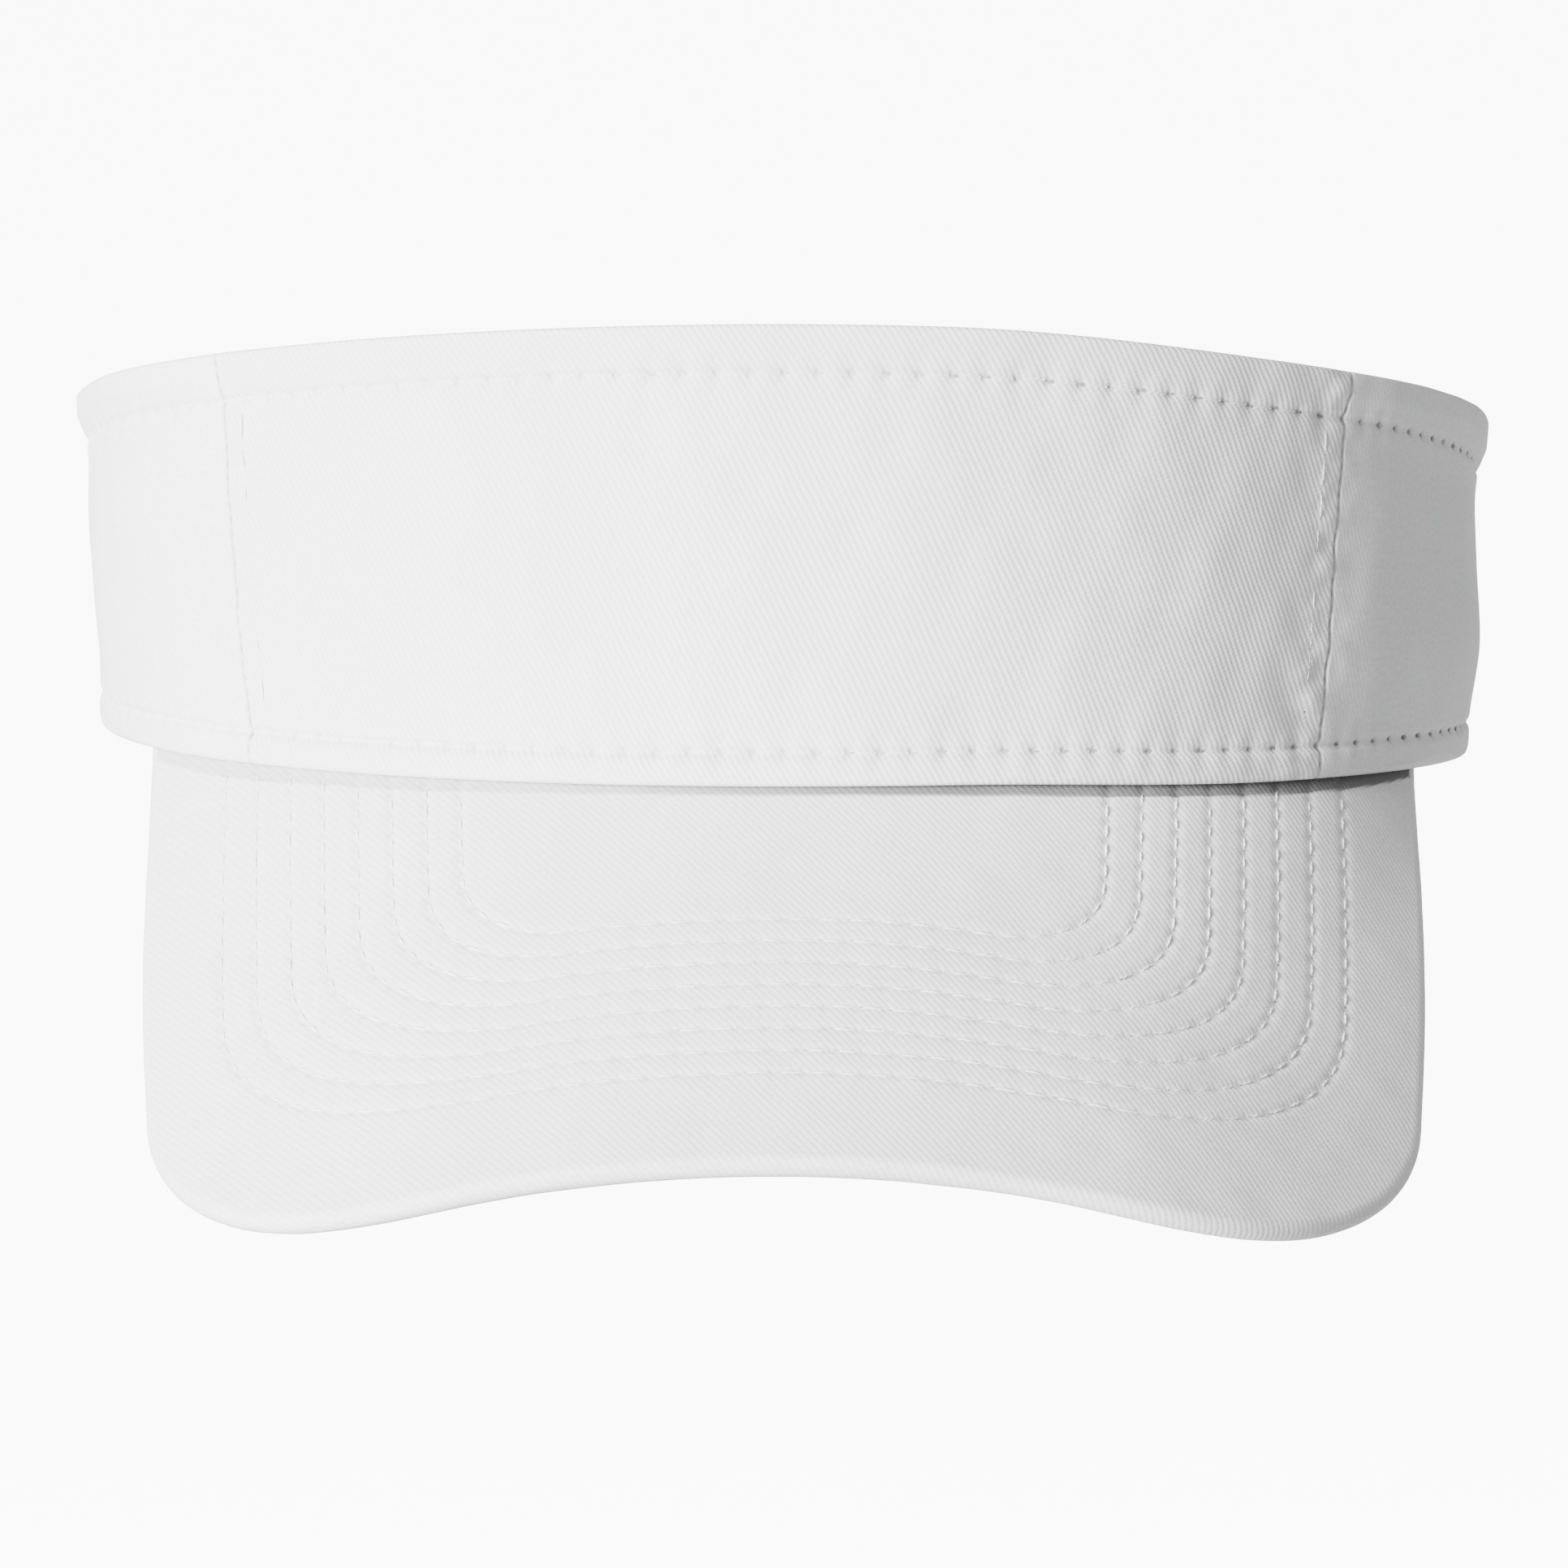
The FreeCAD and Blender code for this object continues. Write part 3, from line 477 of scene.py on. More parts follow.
def wall_depth(turn, low, high, seams):
    """How far in the panel's face lies, given the heights above the lower and below the upper edge."""
    u = along(turn)
    side = np.clip((np.abs(turn) - 38) / 30, 0, 1)
    share = low / (low + high)
    puff = -(0.62 - 0.4 * side) * np.sin(math.pi * np.clip((low + 0.9) / (BOTTOM_HEM + 0.9), 0, 1)) ** 0.8
    puff *= low < BOTTOM_HEM
    flare = -(0.35 + 0.62 * side) * np.clip((TOP_HEM - high) / 3.2, 0, 1) ** 1.3 * (high < TOP_HEM)
    grooves = HEM_GROOVE * (bump(low - BOTTOM_HEM, 0.55) + 0.75 * bump(high - TOP_HEM, 0.6))
    tuck = 0.5 * side * bump(high - TOP_HEM - 3.0, 5.0)
    left = ease((turn - 10) / 50)
    belly = -(0.2 + 1.15 * side * left) * bump(share - 0.33, 0.2)
    belly -= 0.55 * side * (1 - left) * bump(share - 0.66, 0.26)
    waves = 0.16 * ripple(u, low, 26.0, 3) + 0.06 * ripple(u, low, 9.0, 4)
    pull = 0.07 * np.cos(2 * math.pi * u / STITCH)
    near_hems = bump(low - BOTTOM_HEM, 2.4) + bump(high - TOP_HEM, 2.2)
    depth = puff + flare + grooves + tuck + belly + waves * (share > 0.02) + pull * near_hems
    from_end = along(180 - PANEL_END) - np.abs(u)
    depth = depth * ease(from_end / 8.0 + 0.25) + 0.35 * bump(from_end - END_HEM, 0.7)
    for seam in seams:
        off = np.abs(u - along(seam))
        folded = np.where(np.abs(turn) < SEAM, 1.0, 0.15)
        ridge = folded * (1 - ease((off - FELL + 0.9) / 1.8))
        gathers = np.cos(2 * math.pi * low / PUCKER + 2.2 * ripple(u, low, 16.0, 13))
        puckers = 0.077 * gathers * bump(off - FELL, 1.5) * folded
        crumple = 0.2 * ripple(u * 0.55, low, 5.0, 11) * bump(off - 1.8, 2.0) * (0.35 + 0.65 * folded)
        drag = 0.14 * ripple(u + 0.8 * low, 0.2 * low, 7.0, 12) * bump(off - 5.0, 4.0) * folded
        depth = depth + 0.38 * bump(off, 0.24) - 0.05 * ridge + puckers + crumple + drag
    return depth


def panel_profile():
    """The panel's section, once round, as rows of height share, added height and distance inwards.

    Also how many of the rows are on the outer face.
    """
    after_bottom, before_top = BOTTOM_HEM + 2.4, TOP_HEM + 2.4
    outer = []
    for angle in np.radians([-80, -60, -40, -20]):
        outer.append((0, ROLL + ROLL * math.sin(angle), ROLL - ROLL * math.cos(angle)))
    for height in np.linspace(0.9, after_bottom, 20):
        outer.append((0, height, 0.0))
    for share in np.linspace(0, 1, 66)[1:-1]:
        outer.append((share, after_bottom * (1 - share) - before_top * share, 0.0))
    for height in np.linspace(before_top, 0.9, 24):
        outer.append((1, -height, 0.0))
    for angle in np.radians([20, 40, 60, 80]):
        outer.append((1, -ROLL + ROLL * math.sin(angle), ROLL - ROLL * math.cos(angle)))
    inner_top = [(1, -0.05, 1.15), (1, -0.5, 1.7), (1, -1.6, 1.85), (1, -TOP_HEM, 1.75),
                 (1, -TOP_HEM - 0.9, 1.7), (1, -TOP_HEM - 1.2, 1.3), (1, -TOP_HEM - 1.4, 1.05)]
    inner_mid = [(share, (BOTTOM_HEM + 2.0) * (1 - share) - (TOP_HEM + 1.6) * share, 1.05)
                 for share in np.linspace(1, 0, 14)]
    inner_low = [(0, BOTTOM_HEM + 1.2, 1.6), (0, BOTTOM_HEM - 0.4, 3.5),
                 (0, 1.6, 3.6), (0, 0.5, 3.3), (0, 0.05, 2.4)]
    return np.array(outer + inner_top + inner_mid + inner_low), len(outer)


def columns(first, last, seams):
    """Directions for the columns of a panel's mesh, closer together beside the seams."""
    wide, close = 0.3, 0.12
    fine = np.linspace(along(first), along(last), 8001)
    density = np.full(len(fine), 1 / wide)
    for seam in seams:
        density += (1 / close - 1 / wide) * bump(fine - along(seam), 1.0)
    total = np.concatenate([[0], np.cumsum((density[1:] + density[:-1]) / 2 * np.diff(fine))])
    return turn_at(np.interp(np.linspace(0, total[-1], int(total[-1])), total, fine))


def panel(name, first, last, seams, material, node):
    """One crown panel with its rolled hems, from one direction to another."""
    turns = columns(first, last, seams)
    rows, outer_count = panel_profile()
    share, added, inset = rows.T
    turn = turns[:, None]
    bottom, top = band_bottom(turn), band_top(turn)
    z = bottom + share * (top - bottom) + added
    low, high = z - bottom, top - z
    face = wall_depth(turn, low, high, seams)
    is_outer = np.arange(len(rows)) < outer_count
    u = along(turn)
    hole = np.maximum(hole_field(u, high - TOP_HEM), hole_field(u, low - BOTTOM_HEM)) * is_outer
    depth = inset + face * np.where(is_outer, 1.0, 0.55) + 0.3 * hole
    depth = np.where(is_outer, depth, np.maximum(depth, 0.0))
    shaded_fold = ease((inset - 0.35) / 0.4) * (share == 0) * (low < 0.7)
    # painted shade: the needle holes, darker toward the wearer's left (+turn), the underside of the bottom
    # fold, and the seam's ditch
    dark = np.maximum(hole * (0.3 + 0.4 * ease((turn + 10) / 40)), 0.7 * shaded_fold)
    for seam in seams:
        ditch_shade = bump(u - along(seam), 0.2) * (0.5 + 0.3 * np.cos(2 * math.pi * low / 1.9))
        dark = np.maximum(dark, ditch_shade * is_outer)
    x, y = oval(turn, z, depth)
    z = lean(x, y, z)
    section = rows[:, 1] + rows[:, 0] * PANEL_RISE
    place = distances(np.column_stack([section, inset]))
    cloth = np.stack(np.broadcast_arrays(u, place[None, :]), -1)
    made = swept(name, np.stack([x, y, z], -1), material, cloth, dark, flip=True)
    attach(made, "crown_and_bill", node)


def face_point(turn, low, seams, out=0.0, from_top=False):
    """A point on a panel's outer face, at a height above its lower edge or below its upper one."""
    turn = np.asarray(turn, float)
    bottom, top = band_bottom(turn), band_top(turn)
    z = top - low if from_top else bottom + low
    depth = wall_depth(turn, z - bottom, top - z, seams) - out
    x, y = oval(turn, z, depth)
    return np.stack(np.broadcast_arrays(x, y, lean(x, y, z)), -1)


def band_normal(turn):
    a = np.radians(turn)
    return np.stack([np.sin(a), -np.cos(a), np.zeros_like(a)], -1)


def hem_stitches(name, first, last, height, from_top, seams):
    holes = hem_lines((first, last))
    jitter = rng.normal(0, 0.07, len(holes))
    starts, ends = holes[:-1] + 0.5, holes[1:] - 0.5
    a = face_point(turn_at(starts), height + jitter[:-1], seams, 0.02, from_top)
    b = face_point(turn_at(ends), height + jitter[:-1], seams, 0.02, from_top)
    normals = band_normal(turn_at((starts + ends) / 2))
    made = stitches(name, a, b, normals, radius=0.19, rise=0.06, pit=0.34)
    attach(made, "crown_and_bill")


def seam_stitches(name, seam):
    turn = float(turn_at(along(seam) - math.copysign(FELL, seam)))
    tall = float(band_top(turn) - band_bottom(turn))
    first, last = math.ceil(BOTTOM_HEM / STITCH + 0.3), math.floor((tall - TOP_HEM) / STITCH)
    holes = np.arange(first, last + 1) * STITCH
    spots = np.full(len(holes) - 1, turn)
    a = face_point(spots, holes[:-1] + 0.5, [seam], 0.0)
    b = face_point(spots, holes[1:] - 0.5, [seam], 0.0)
    made = stitches(name, a, b, band_normal(spots), radius=0.11, rise=0.02, pit=0.15)
    attach(made, "crown_and_bill")


def end_stitches(name, side):
    """Stitching that closes a panel's end behind, above and below the strap's way out."""
    turn = float(turn_at(side * (along(180 - PANEL_END) - END_HEM)))
    tall = float(band_top(turn) - band_bottom(turn))
    marks = np.arange(BOTTOM_HEM, tall - TOP_HEM + 0.1, (tall - TOP_HEM - BOTTOM_HEM) / 5)
    a, b = marks[:-1] + 0.4, marks[1:] - 0.4
    spots = np.full(len(a), turn)
    starts, ends = face_point(spots, a, [], 0.05), face_point(spots, b, [], 0.05)
    made = stitches(name, starts, ends, band_normal(spots))
    attach(made, "crown_and_bill")


def make_crown():
    end = 180 - PANEL_END
    stretches = [("front", -SEAM, SEAM, [-SEAM, SEAM], crown_cloth, "front_panel"),
                 ("left", SEAM, end, [SEAM], side_cloth, "left_side_panel"),
                 ("right", -end, -SEAM, [-SEAM], side_cloth, "right_side_panel")]
    for word, first, last, seams, material, node in stretches:
        panel(f"{word}_panel_cloth", first, last, seams, material, node)
        hem_stitches(f"{word}_top_hem_thread", first, last, TOP_HEM, True, seams)
        hem_stitches(f"{word}_bottom_hem_thread", first, last, BOTTOM_HEM, False, seams)
    for side, word in ((1, "left"), (-1, "right")):
        seam_stitches(f"{word}_seam_thread", side * SEAM)
        end_stitches(f"{word}_end_thread", side)


# ---- linings inside the band
LINING_THICK, LINING_GAP = 0.45, 0.15
SWEATBAND_SEWN = 3.0            # from the sweatband's upper edge to its stitching


def lining(name, first, last, levels, outer, thick, material, node, slot, wave=0.1, edge_round=0.45):
    """A strip of cloth inside the band; levels(turn) gives its lower and upper edge."""
    count = int((along(last) - along(first)) / 0.8) + 2
    turns = turn_at(np.linspace(along(first), along(last), count))[:, None]
    low, high = levels(turns)
    r = edge_round
    loop = []
    for share in np.linspace(0, 1, 26):
        loop.append((share, 0.0, 0.0))
    loop += [(1, r * 0.7, 0.3), (1, r, 0.5), (1, r * 0.7, 0.7)]
    for share in np.linspace(1, 0, 26):
        loop.append((share, 0.0, 1.0))
    loop += [(0, -r * 0.7, 0.7), (0, -r, 0.5), (0, -r * 0.7, 0.3)]
    share, added, inward = np.array(loop).T
    z = low + r + share * (high - low - 2 * r) + added
    u = along(turns)
    depth = outer + inward * thick + wave * ripple(u, z, 22.0, 21) * np.clip(share * 3, 0, 1)
    x, y = oval(turns, z, depth)
    place = distances(np.column_stack([share * 28 + added, inward * thick]))
    cloth = np.stack(np.broadcast_arrays(u, place[None, :]), -1)
    made = swept(name, np.stack([x, y, lean(x, y, z)], -1), material, cloth, flip=True)
    attach(made, "crown_and_bill", node)
    return made


def make_linings():
    def under_hems(turn):
        return band_bottom(turn) + BOTTOM_HEM + 1.0, band_top(turn) - TOP_HEM - 0.6

    def sweatband_levels(turn):
        y = oval(turn, 20.0, 0.0)[1]
        return band_bottom(turn) + 0.8, edge(SWEATBAND_FRONT, STRAP_HIGH + SWEATBAND_MARGIN, y)

    edge_turn = SEAM - TAPE - TAPE_GAP
    made = lining("front_stiffener", -edge_turn, edge_turn, under_hems, PANEL + LINING_GAP, LINING_THICK,
                  stiffener_cloth, "front_interlining", "interlining", wave=0.04, edge_round=0.15)
    for side, word in ((1, "left"), (-1, "right")):
        ends = sorted((side * (SEAM - TAPE), side * (SEAM + TAPE)))
        made = lining(f"{word}_seam_tape_strip", *ends, under_hems, PANEL + LINING_GAP, LINING_THICK,
                      tape_cloth, f"{word}_seam_tape", "seam_tape", wave=0.06, edge_round=0.15)
    end = 180 - PANEL_END
    made = lining("sweatband_band", -end, end, sweatband_levels, SWEATBAND_DEPTH, SWEATBAND, band_cloth,
                  "sweatband", "sweatband_cotton", wave=0.12, edge_round=0.7)
    holes = np.arange(math.ceil(along(-end) / STITCH), math.floor(along(end) / STITCH)) * STITCH
    rows = []
    for shift in (0.5, STITCH - 0.5):
        turns = turn_at(holes + shift)
        z = sweatband_levels(turns)[1] - SWEATBAND_SEWN
        x, y = oval(turns, z, SWEATBAND_DEPTH + SWEATBAND + 0.05)
        rows.append(np.stack([x, y, lean(x, y, z)], -1))
    made = stitches("sweatband_thread", rows[0], rows[1], -band_normal(turn_at(holes)))
    attach(made, "crown_and_bill")


# ---- bill
OFFSET, CENTRE, _ = arcs_at(0.0)
FRONT_ARC = REACH + CENTRE + OFFSET / math.tan(math.radians(SEAM))
BILL_RADIUS = FRONT_ARC / (math.sin(BILL_SLOPE) * BILL_BEND)
EDGE_ROLL = BILL_THICK / 2
ROW_COUNT, ROW_STEP, ROW_FIRST = 8, 4.33, 17.6
ROW_HALF, ROW_SIDE_STEP, ROW_CORNER, ROW_CORNER_STEP = 76.0, 4.5, 36.0, 3.0
ROW_TAPER = math.radians(2.6)
BILL_STITCH = 3.9
COVER_GRID, BOARD_GRID = (400, 190), (120, 60)
COVER_SEAM = math.radians(148)      # how far round the bill's edge the upper cover goes
CROWN_TURNS = np.linspace(-85, 85, 681)


class Outline:
    """A U in the bill's flat: a front arc, two corner arcs and two side lines that spread to the back."""

    def __init__(self, reach, half, corner, radius, taper, rear):
        self.reach, self.corner, self.radius, self.taper = reach, corner, radius, taper
        self.half, self.rear, self.centre = half, rear, reach - radius
        side_in = corner / math.cos(taper)
        low, high = -rear, reach
        for _ in range(60):
            v = (low + high) / 2
            x = half - (v + rear) * math.tan(taper) - side_in
            if math.hypot(x, v - self.centre) < radius - corner:
                low = v
            else:
                high = v
        self.cx, self.cv = x, v
        self.meet = math.atan2(x, v - self.centre)

    def side_x(self, v):
        return self.half - (v + self.rear) * math.tan(self.taper)

    def line(self, back, spacing=0.25):
        """Points from the left side's back end, round the front, to the right side's back end."""
        front = np.linspace(0, self.meet, max(4, int(self.radius * self.meet / spacing)))
        corner = np.linspace(self.meet, math.pi / 2 - self.taper, max(4, int(self.corner * 1.4 / spacing)))
        corner = corner[1:]
        r, small = self.radius, self.corner
        x = np.concatenate([r * np.sin(front), self.cx + small * np.sin(corner)])
        v = np.concatenate([self.centre + r * np.cos(front), self.cv + small * np.cos(corner)])
        down = np.arange(v[-1] - spacing, back, -spacing)
        x, v = np.concatenate([x, self.side_x(down)]), np.concatenate([v, down])
        right = np.stack([x, v], 1)
        return np.concatenate([right[:0:-1] * (-1, 1), right])

    def distance(self, x, v):
        """Unsigned distance from the U, near enough inside it and close outside."""
        x = np.abs(x)
        turn = np.arctan2(x - self.cx, v - self.cv)
        to_corner = np.abs(np.hypot(x - self.cx, v - self.cv) - self.corner)
        to_front = np.abs(np.hypot(x, v - self.centre) - self.radius)
        to_side = np.abs(x - self.side_x(v)) * math.cos(self.taper)
        beside = (v <= self.cv) & (x > self.cx - self.corner)
        ahead = np.arctan2(x, v - self.centre) < self.meet
        in_corner = (turn >= self.meet) & (turn <= math.pi / 2 - self.taper) & (x >= self.cx)
        best = np.where(in_corner, to_corner, np.where(ahead & (v > self.cv), to_front, to_side))
        return np.where(beside, to_side, best)


def crown_line(depth):
    """Where the band's lower edge meets the bill's flat: x and v for directions to both sides."""
    x, y = oval(CROWN_TURNS, 0.0, depth)
    sag = BILL_RADIUS - np.sqrt(BILL_RADIUS ** 2 - x ** 2)
    v = (-(y + REACH) + sag * math.sin(BILL_SLOPE)) / math.cos(BILL_SLOPE)
    return x, v


CROWN_X, CROWN_V = crown_line(0.0)
CROWN_Y = oval(CROWN_TURNS, 0.0, 0.0)[1]


def from_crown(x, v):
    """0 along the band's edge to 1 well clear of it."""
    return ease((v - np.interp(x, CROWN_X, CROWN_V)) / 34.0)


def lift(x, v):
    """The bill is held against the band's edge, so there it leaves its plain tube."""
    y = np.interp(x, CROWN_X, CROWN_Y)
    sag = BILL_RADIUS - np.sqrt(np.clip(BILL_RADIUS ** 2 - x ** 2, 0, None))
    z = -BILL_DROP + math.tan(BILL_SLOPE) * (y + REACH) - sag / math.cos(BILL_SLOPE)
    gap = 0.3 + 0.6 * ease((x + 60) / 80)
    need = (lean(x, y, 0.0) - gap - z) * math.cos(BILL_SLOPE)
    return need * (1 - from_crown(x, v))


def twist(x, v):
    """The bill hangs a little lower at the wearer's left, as the band does, and its corners droop."""
    left = -0.7 * (1 - np.cos(np.clip(x, 0, None) / 21)) / 2
    right = 0.35 * (1 - np.cos(np.clip(x, -88, 0) / 14)) / 2
    droop = -1.3 * ease((np.abs(x) - 42) / 30)
    return (left + right + droop) * from_crown(x, v)


def bill_point(x, v, depth, raised=0.0):
    """A point of the bill, depth under its upper face; x across and v forward in its flat."""
    out = np.sqrt(np.clip(BILL_RADIUS ** 2 - x ** 2, 0, None))
    scale = (BILL_RADIUS - depth + raised) / BILL_RADIUS
    bow = 0.75 * np.sin(math.pi * (v + 25) / 60) * np.abs(x) / 90 ** 2
    across, up = x * (scale + bow), out * scale - BILL_RADIUS + lift(x, v)
    c, s = math.cos(BILL_SLOPE), math.sin(BILL_SLOPE)
    return np.stack([across, -REACH - v * c - up * s, -BILL_DROP - v * s + up * c + twist(x, v)], -1)


def bill_rows():
    """The lines of stitching on the bill, from the outermost inwards."""
    rows = []
    for k in range(ROW_COUNT):
        reach, half = BILL_LENGTH - ROW_FIRST - ROW_STEP * k, ROW_HALF - ROW_SIDE_STEP * k
        corner = ROW_CORNER - ROW_CORNER_STEP * k
        rows.append(Outline(reach, half, corner, BILL_FRONT_RADIUS - ROW_FIRST, ROW_TAPER, BILL_REAR))
    return rows


def row_holes(row):
    """The needle holes of one row, from under the band's edge on one side round to the other."""
    line = every(row.line(-45.0), BILL_STITCH)
    return line[line[:, 1] > np.interp(line[:, 0], CROWN_X, CROWN_V) - 2.0]


def coons(bottom, top, left, right):
    """A grid of points inside four boundary lines that meet at their ends."""
    across, up = len(bottom), len(left)
    a, b = np.linspace(0, 1, across)[None, :, None], np.linspace(0, 1, up)[:, None, None]
    sides = (1 - a) * left[:, None] + a * right[:, None]
    ends = (1 - b) * bottom[None] + b * top[None]
    corners = ((1 - a) * (1 - b) * bottom[0] + a * (1 - b) * bottom[-1]
               + (1 - a) * b * top[0] + a * b * top[-1])
    return ends + sides - corners


def bill_patch(inset, tuck, across, up):
    """A grid over the bill's flat, inset from its outline and tucked under the band's edge."""
    u_line = Outline(BILL_LENGTH - inset, HALF_WIDTH - BILL_SIDE_SETBACK - inset, BILL_CORNER - inset,
                     BILL_FRONT_RADIUS - inset, BILL_TAPER, BILL_REAR)
    rear_x, rear_v = crown_line(tuck)
    right_end = np.argmax(rear_x > u_line.side_x(rear_v))
    half = slice(len(rear_x) - 1 - right_end, right_end + 1)
    rear = np.stack([rear_x[half], rear_v[half]], 1)
    rear[0, 0], rear[-1, 0] = -u_line.side_x(rear[0, 1]), u_line.side_x(rear[-1, 1])
    outline = u_line.line(rear[-1, 1] + 0.01)
    corner = u_line.cx + u_line.corner * math.sin((u_line.meet + math.pi / 2) / 2)
    forward = outline[:, 1] > u_line.cv - 1e-6
    right_split = np.where((outline[:, 0] > 0) & forward & (outline[:, 0] <= corner))[0][-1]
    left_split = len(outline) - 1 - right_split
    left = np.concatenate([rear[:1], outline[:left_split + 1]])
    front = outline[left_split:right_split + 1]
    right = np.concatenate([outline[right_split:], rear[-1:]])[::-1]
    return coons(even(rear, across), even(front, across), even(left, up), even(right, up))


def boundary(grid):
    """The left side, the front and the right side of a patch as one line of indices."""
    up, across = grid.shape[:2]
    index = np.arange(up * across).reshape(up, across)
    return np.concatenate([index[:, 0], index[-1, 1:], index[-2::-1, -1]])


def outward(line):
    """Unit normals in the flat that point away from the bill."""
    tangent = np.gradient(line, axis=0)
    tangent /= np.linalg.norm(tangent, axis=1, keepdims=True)
    return np.stack([-tangent[:, 1], tangent[:, 0]], 1)


def bill_relief(x, v, rows, holes):
    """Height of the face over the plain bill, its painted shade in needle holes and its painted shadow under
    the band's edge.
    """
    height = 0.07 * ripple(x, v, 30.0, 31) + 0.03 * ripple(x, v, 8.0, 32)
    hole = np.zeros_like(x)
    for row, spots in zip(rows, holes):
        height -= 0.15 * bump(row.distance(x, v), 0.6)
        flat = np.stack([x.ravel(), v.ravel()], 1)
        near = np.full(len(flat), 9.0)
        for spot in np.array_split(spots, 8):
            gap = np.hypot(flat[:, :1] - spot[:, 0], flat[:, 1:] - spot[:, 1])
            near = np.minimum(near, gap.min(1))
        hole = np.maximum(hole, bump(near.reshape(x.shape), 0.52))
    clear = v - np.interp(x, CROWN_X, CROWN_V)
    # painted shadow in the slit under the band's edge, darker toward the wearer's left (+x); painted shade in
    # the needle holes
    slit_shadow = (0.35 + 0.65 * ease((x + 45) / 70)) * ease((0.6 - clear) / 0.45)
    return height - 0.16 * hole, np.maximum(0.15 * hole, slit_shadow)


def bill_cover(name, node, upper, rows, holes):
    """The upper or the lower cover, rolled round the edge to where the two meet."""
    grid = bill_patch(EDGE_ROLL, 2.4, *COVER_GRID)
    x, v = grid[..., 0], grid[..., 1]
    # hole here holds the painted shade of the needle holes and the painted shadow under the band's edge
    height, hole = bill_relief(x, v, rows, holes)
    depth = 0.0 if upper else BILL_THICK
    sign = 1.0 if upper else -1.0
    face = bill_point(x, v, depth, sign * height)
    cloth = np.stack([BILL_RADIUS * np.arcsin(x / BILL_RADIUS), v], -1)
    rim = boundary(grid)
    line = grid.reshape(-1, 2)[rim]
    normal = outward(line)
    rim_height = height.reshape(-1)[rim]
    points, cloths = [face.reshape(-1, 3)], [cloth.reshape(-1, 2)]
    faces = list(grid_faces(*x.shape, flip=upper))
    reach, steps = (COVER_SEAM, 12) if upper else (math.pi - COVER_SEAM, 5)
    angles = np.linspace(0, reach, steps)[1:]
    before, start = rim, x.size
    for step, angle in enumerate(angles):
        last = step == len(angles) - 1
        r = EDGE_ROLL - (0.2 if last else 0.0)
        out = line + normal * (r * math.sin(angle))
        drop = EDGE_ROLL - r * math.cos(angle)
        level = drop if upper else BILL_THICK - drop
        ring = bill_point(out[:, 0], out[:, 1], level, sign * rim_height * math.cos(angle))
        points.append(ring)
        place = line + normal * (EDGE_ROLL * angle)
        cloths.append(np.stack([BILL_RADIUS * np.arcsin(place[:, 0] / BILL_RADIUS), place[:, 1]], -1))
        here = np.arange(len(rim)) + start
        quads = np.stack([before[:-1], here[:-1], here[1:], before[1:]], 1)
        faces += list(quads if upper else quads[:, ::-1])
        before, start = here, start + len(rim)
    dark = np.concatenate([hole.ravel(), np.zeros(start - x.size)])
    made = make_mesh(name, np.concatenate(points), faces, bill_cloth, np.concatenate(cloths), dark)
    attach(made, "crown_and_bill", node)


def bill_stitches(name, rows, holes, upper):
    starts, ends, normals = [], [], []
    depth, sign = (0.0, 1.0) if upper else (BILL_THICK, -1.0)
    for spots in holes:
        run = spots[1:] - spots[:-1]
        keep = np.linalg.norm(run, axis=1) < 1.5 * BILL_STITCH
        run = run[keep] / BILL_STITCH
        a, b = spots[:-1][keep] + run * 0.5, spots[1:][keep] - run * 0.5
        for line, store in ((a, starts), (b, ends)):
            height = bill_relief(line[:, 0], line[:, 1], rows, holes)[0]
            store.append(bill_point(line[:, 0], line[:, 1], depth, sign * height))
        x, v = (a + b).T / 2
        normals.append(sign * (bill_point(x, v, 0.0) - bill_point(x, v, 1.0)))
    made = stitches(name, np.concatenate(starts), np.concatenate(ends), np.concatenate(normals),
                    radius=0.185, rise=0.12, sides=6, rings=6, pit=0.2)
    attach(made, "crown_and_bill")


def bill_core():
    """The stiff board between the covers."""
    grid = bill_patch(EDGE_ROLL + 1.6, 1.6, *BOARD_GRID)
    x, v = grid[..., 0], grid[..., 1]
    points = np.concatenate([bill_point(x, v, depth).reshape(-1, 3) for depth in (0.85, BILL_THICK - 0.85)])
    up, across = x.shape
    loop = np.concatenate([boundary(grid), np.arange(across - 2, 0, -1)])
    nxt = np.roll(loop, -1)
    below = up * across
    faces = list(grid_faces(up, across, flip=True))
    faces += list(grid_faces(up, across) + below)
    faces += list(np.stack([nxt, nxt + below, loop + below, loop], 1))
    made = make_mesh("bill_board_sheet", points, faces, board_plastic("bill_board_plastic"), smooth=False)
    attach(made, "crown_and_bill", "bill_board")


def make_bill():
    rows = bill_rows()
    holes = [row_holes(row) for row in rows]
    bill_cover("bill_top_cloth", "bill_top_cover", True, rows, holes)
    bill_cover("bill_under_cloth", "bill_under_cover", False, rows, holes)
    bill_stitches("bill_top_thread", rows, holes, True)
    bill_stitches("bill_under_thread", rows, holes, False)
    bill_core()


# ---- strap and buckle
STRAP_CENTRE, STRAP_RADIUS = back_arc(STRAP_MIDDLE)
STRAP_RADIUS -= PANEL + CASING_CLEARANCE + STRAP_THICK / 2
STRAP_ROOT, STRAP_TAIL = math.radians(44), math.radians(-44)
STRAP_STITCH = 3.2


def on_strap(turn, z, out):
    """A point at an angle from straight back (+ to the wearer's left), out from the strap's middle."""
    r = STRAP_RADIUS + out
    return np.stack(np.broadcast_arrays(r * np.sin(turn), STRAP_CENTRE + r * np.cos(turn), z), -1)


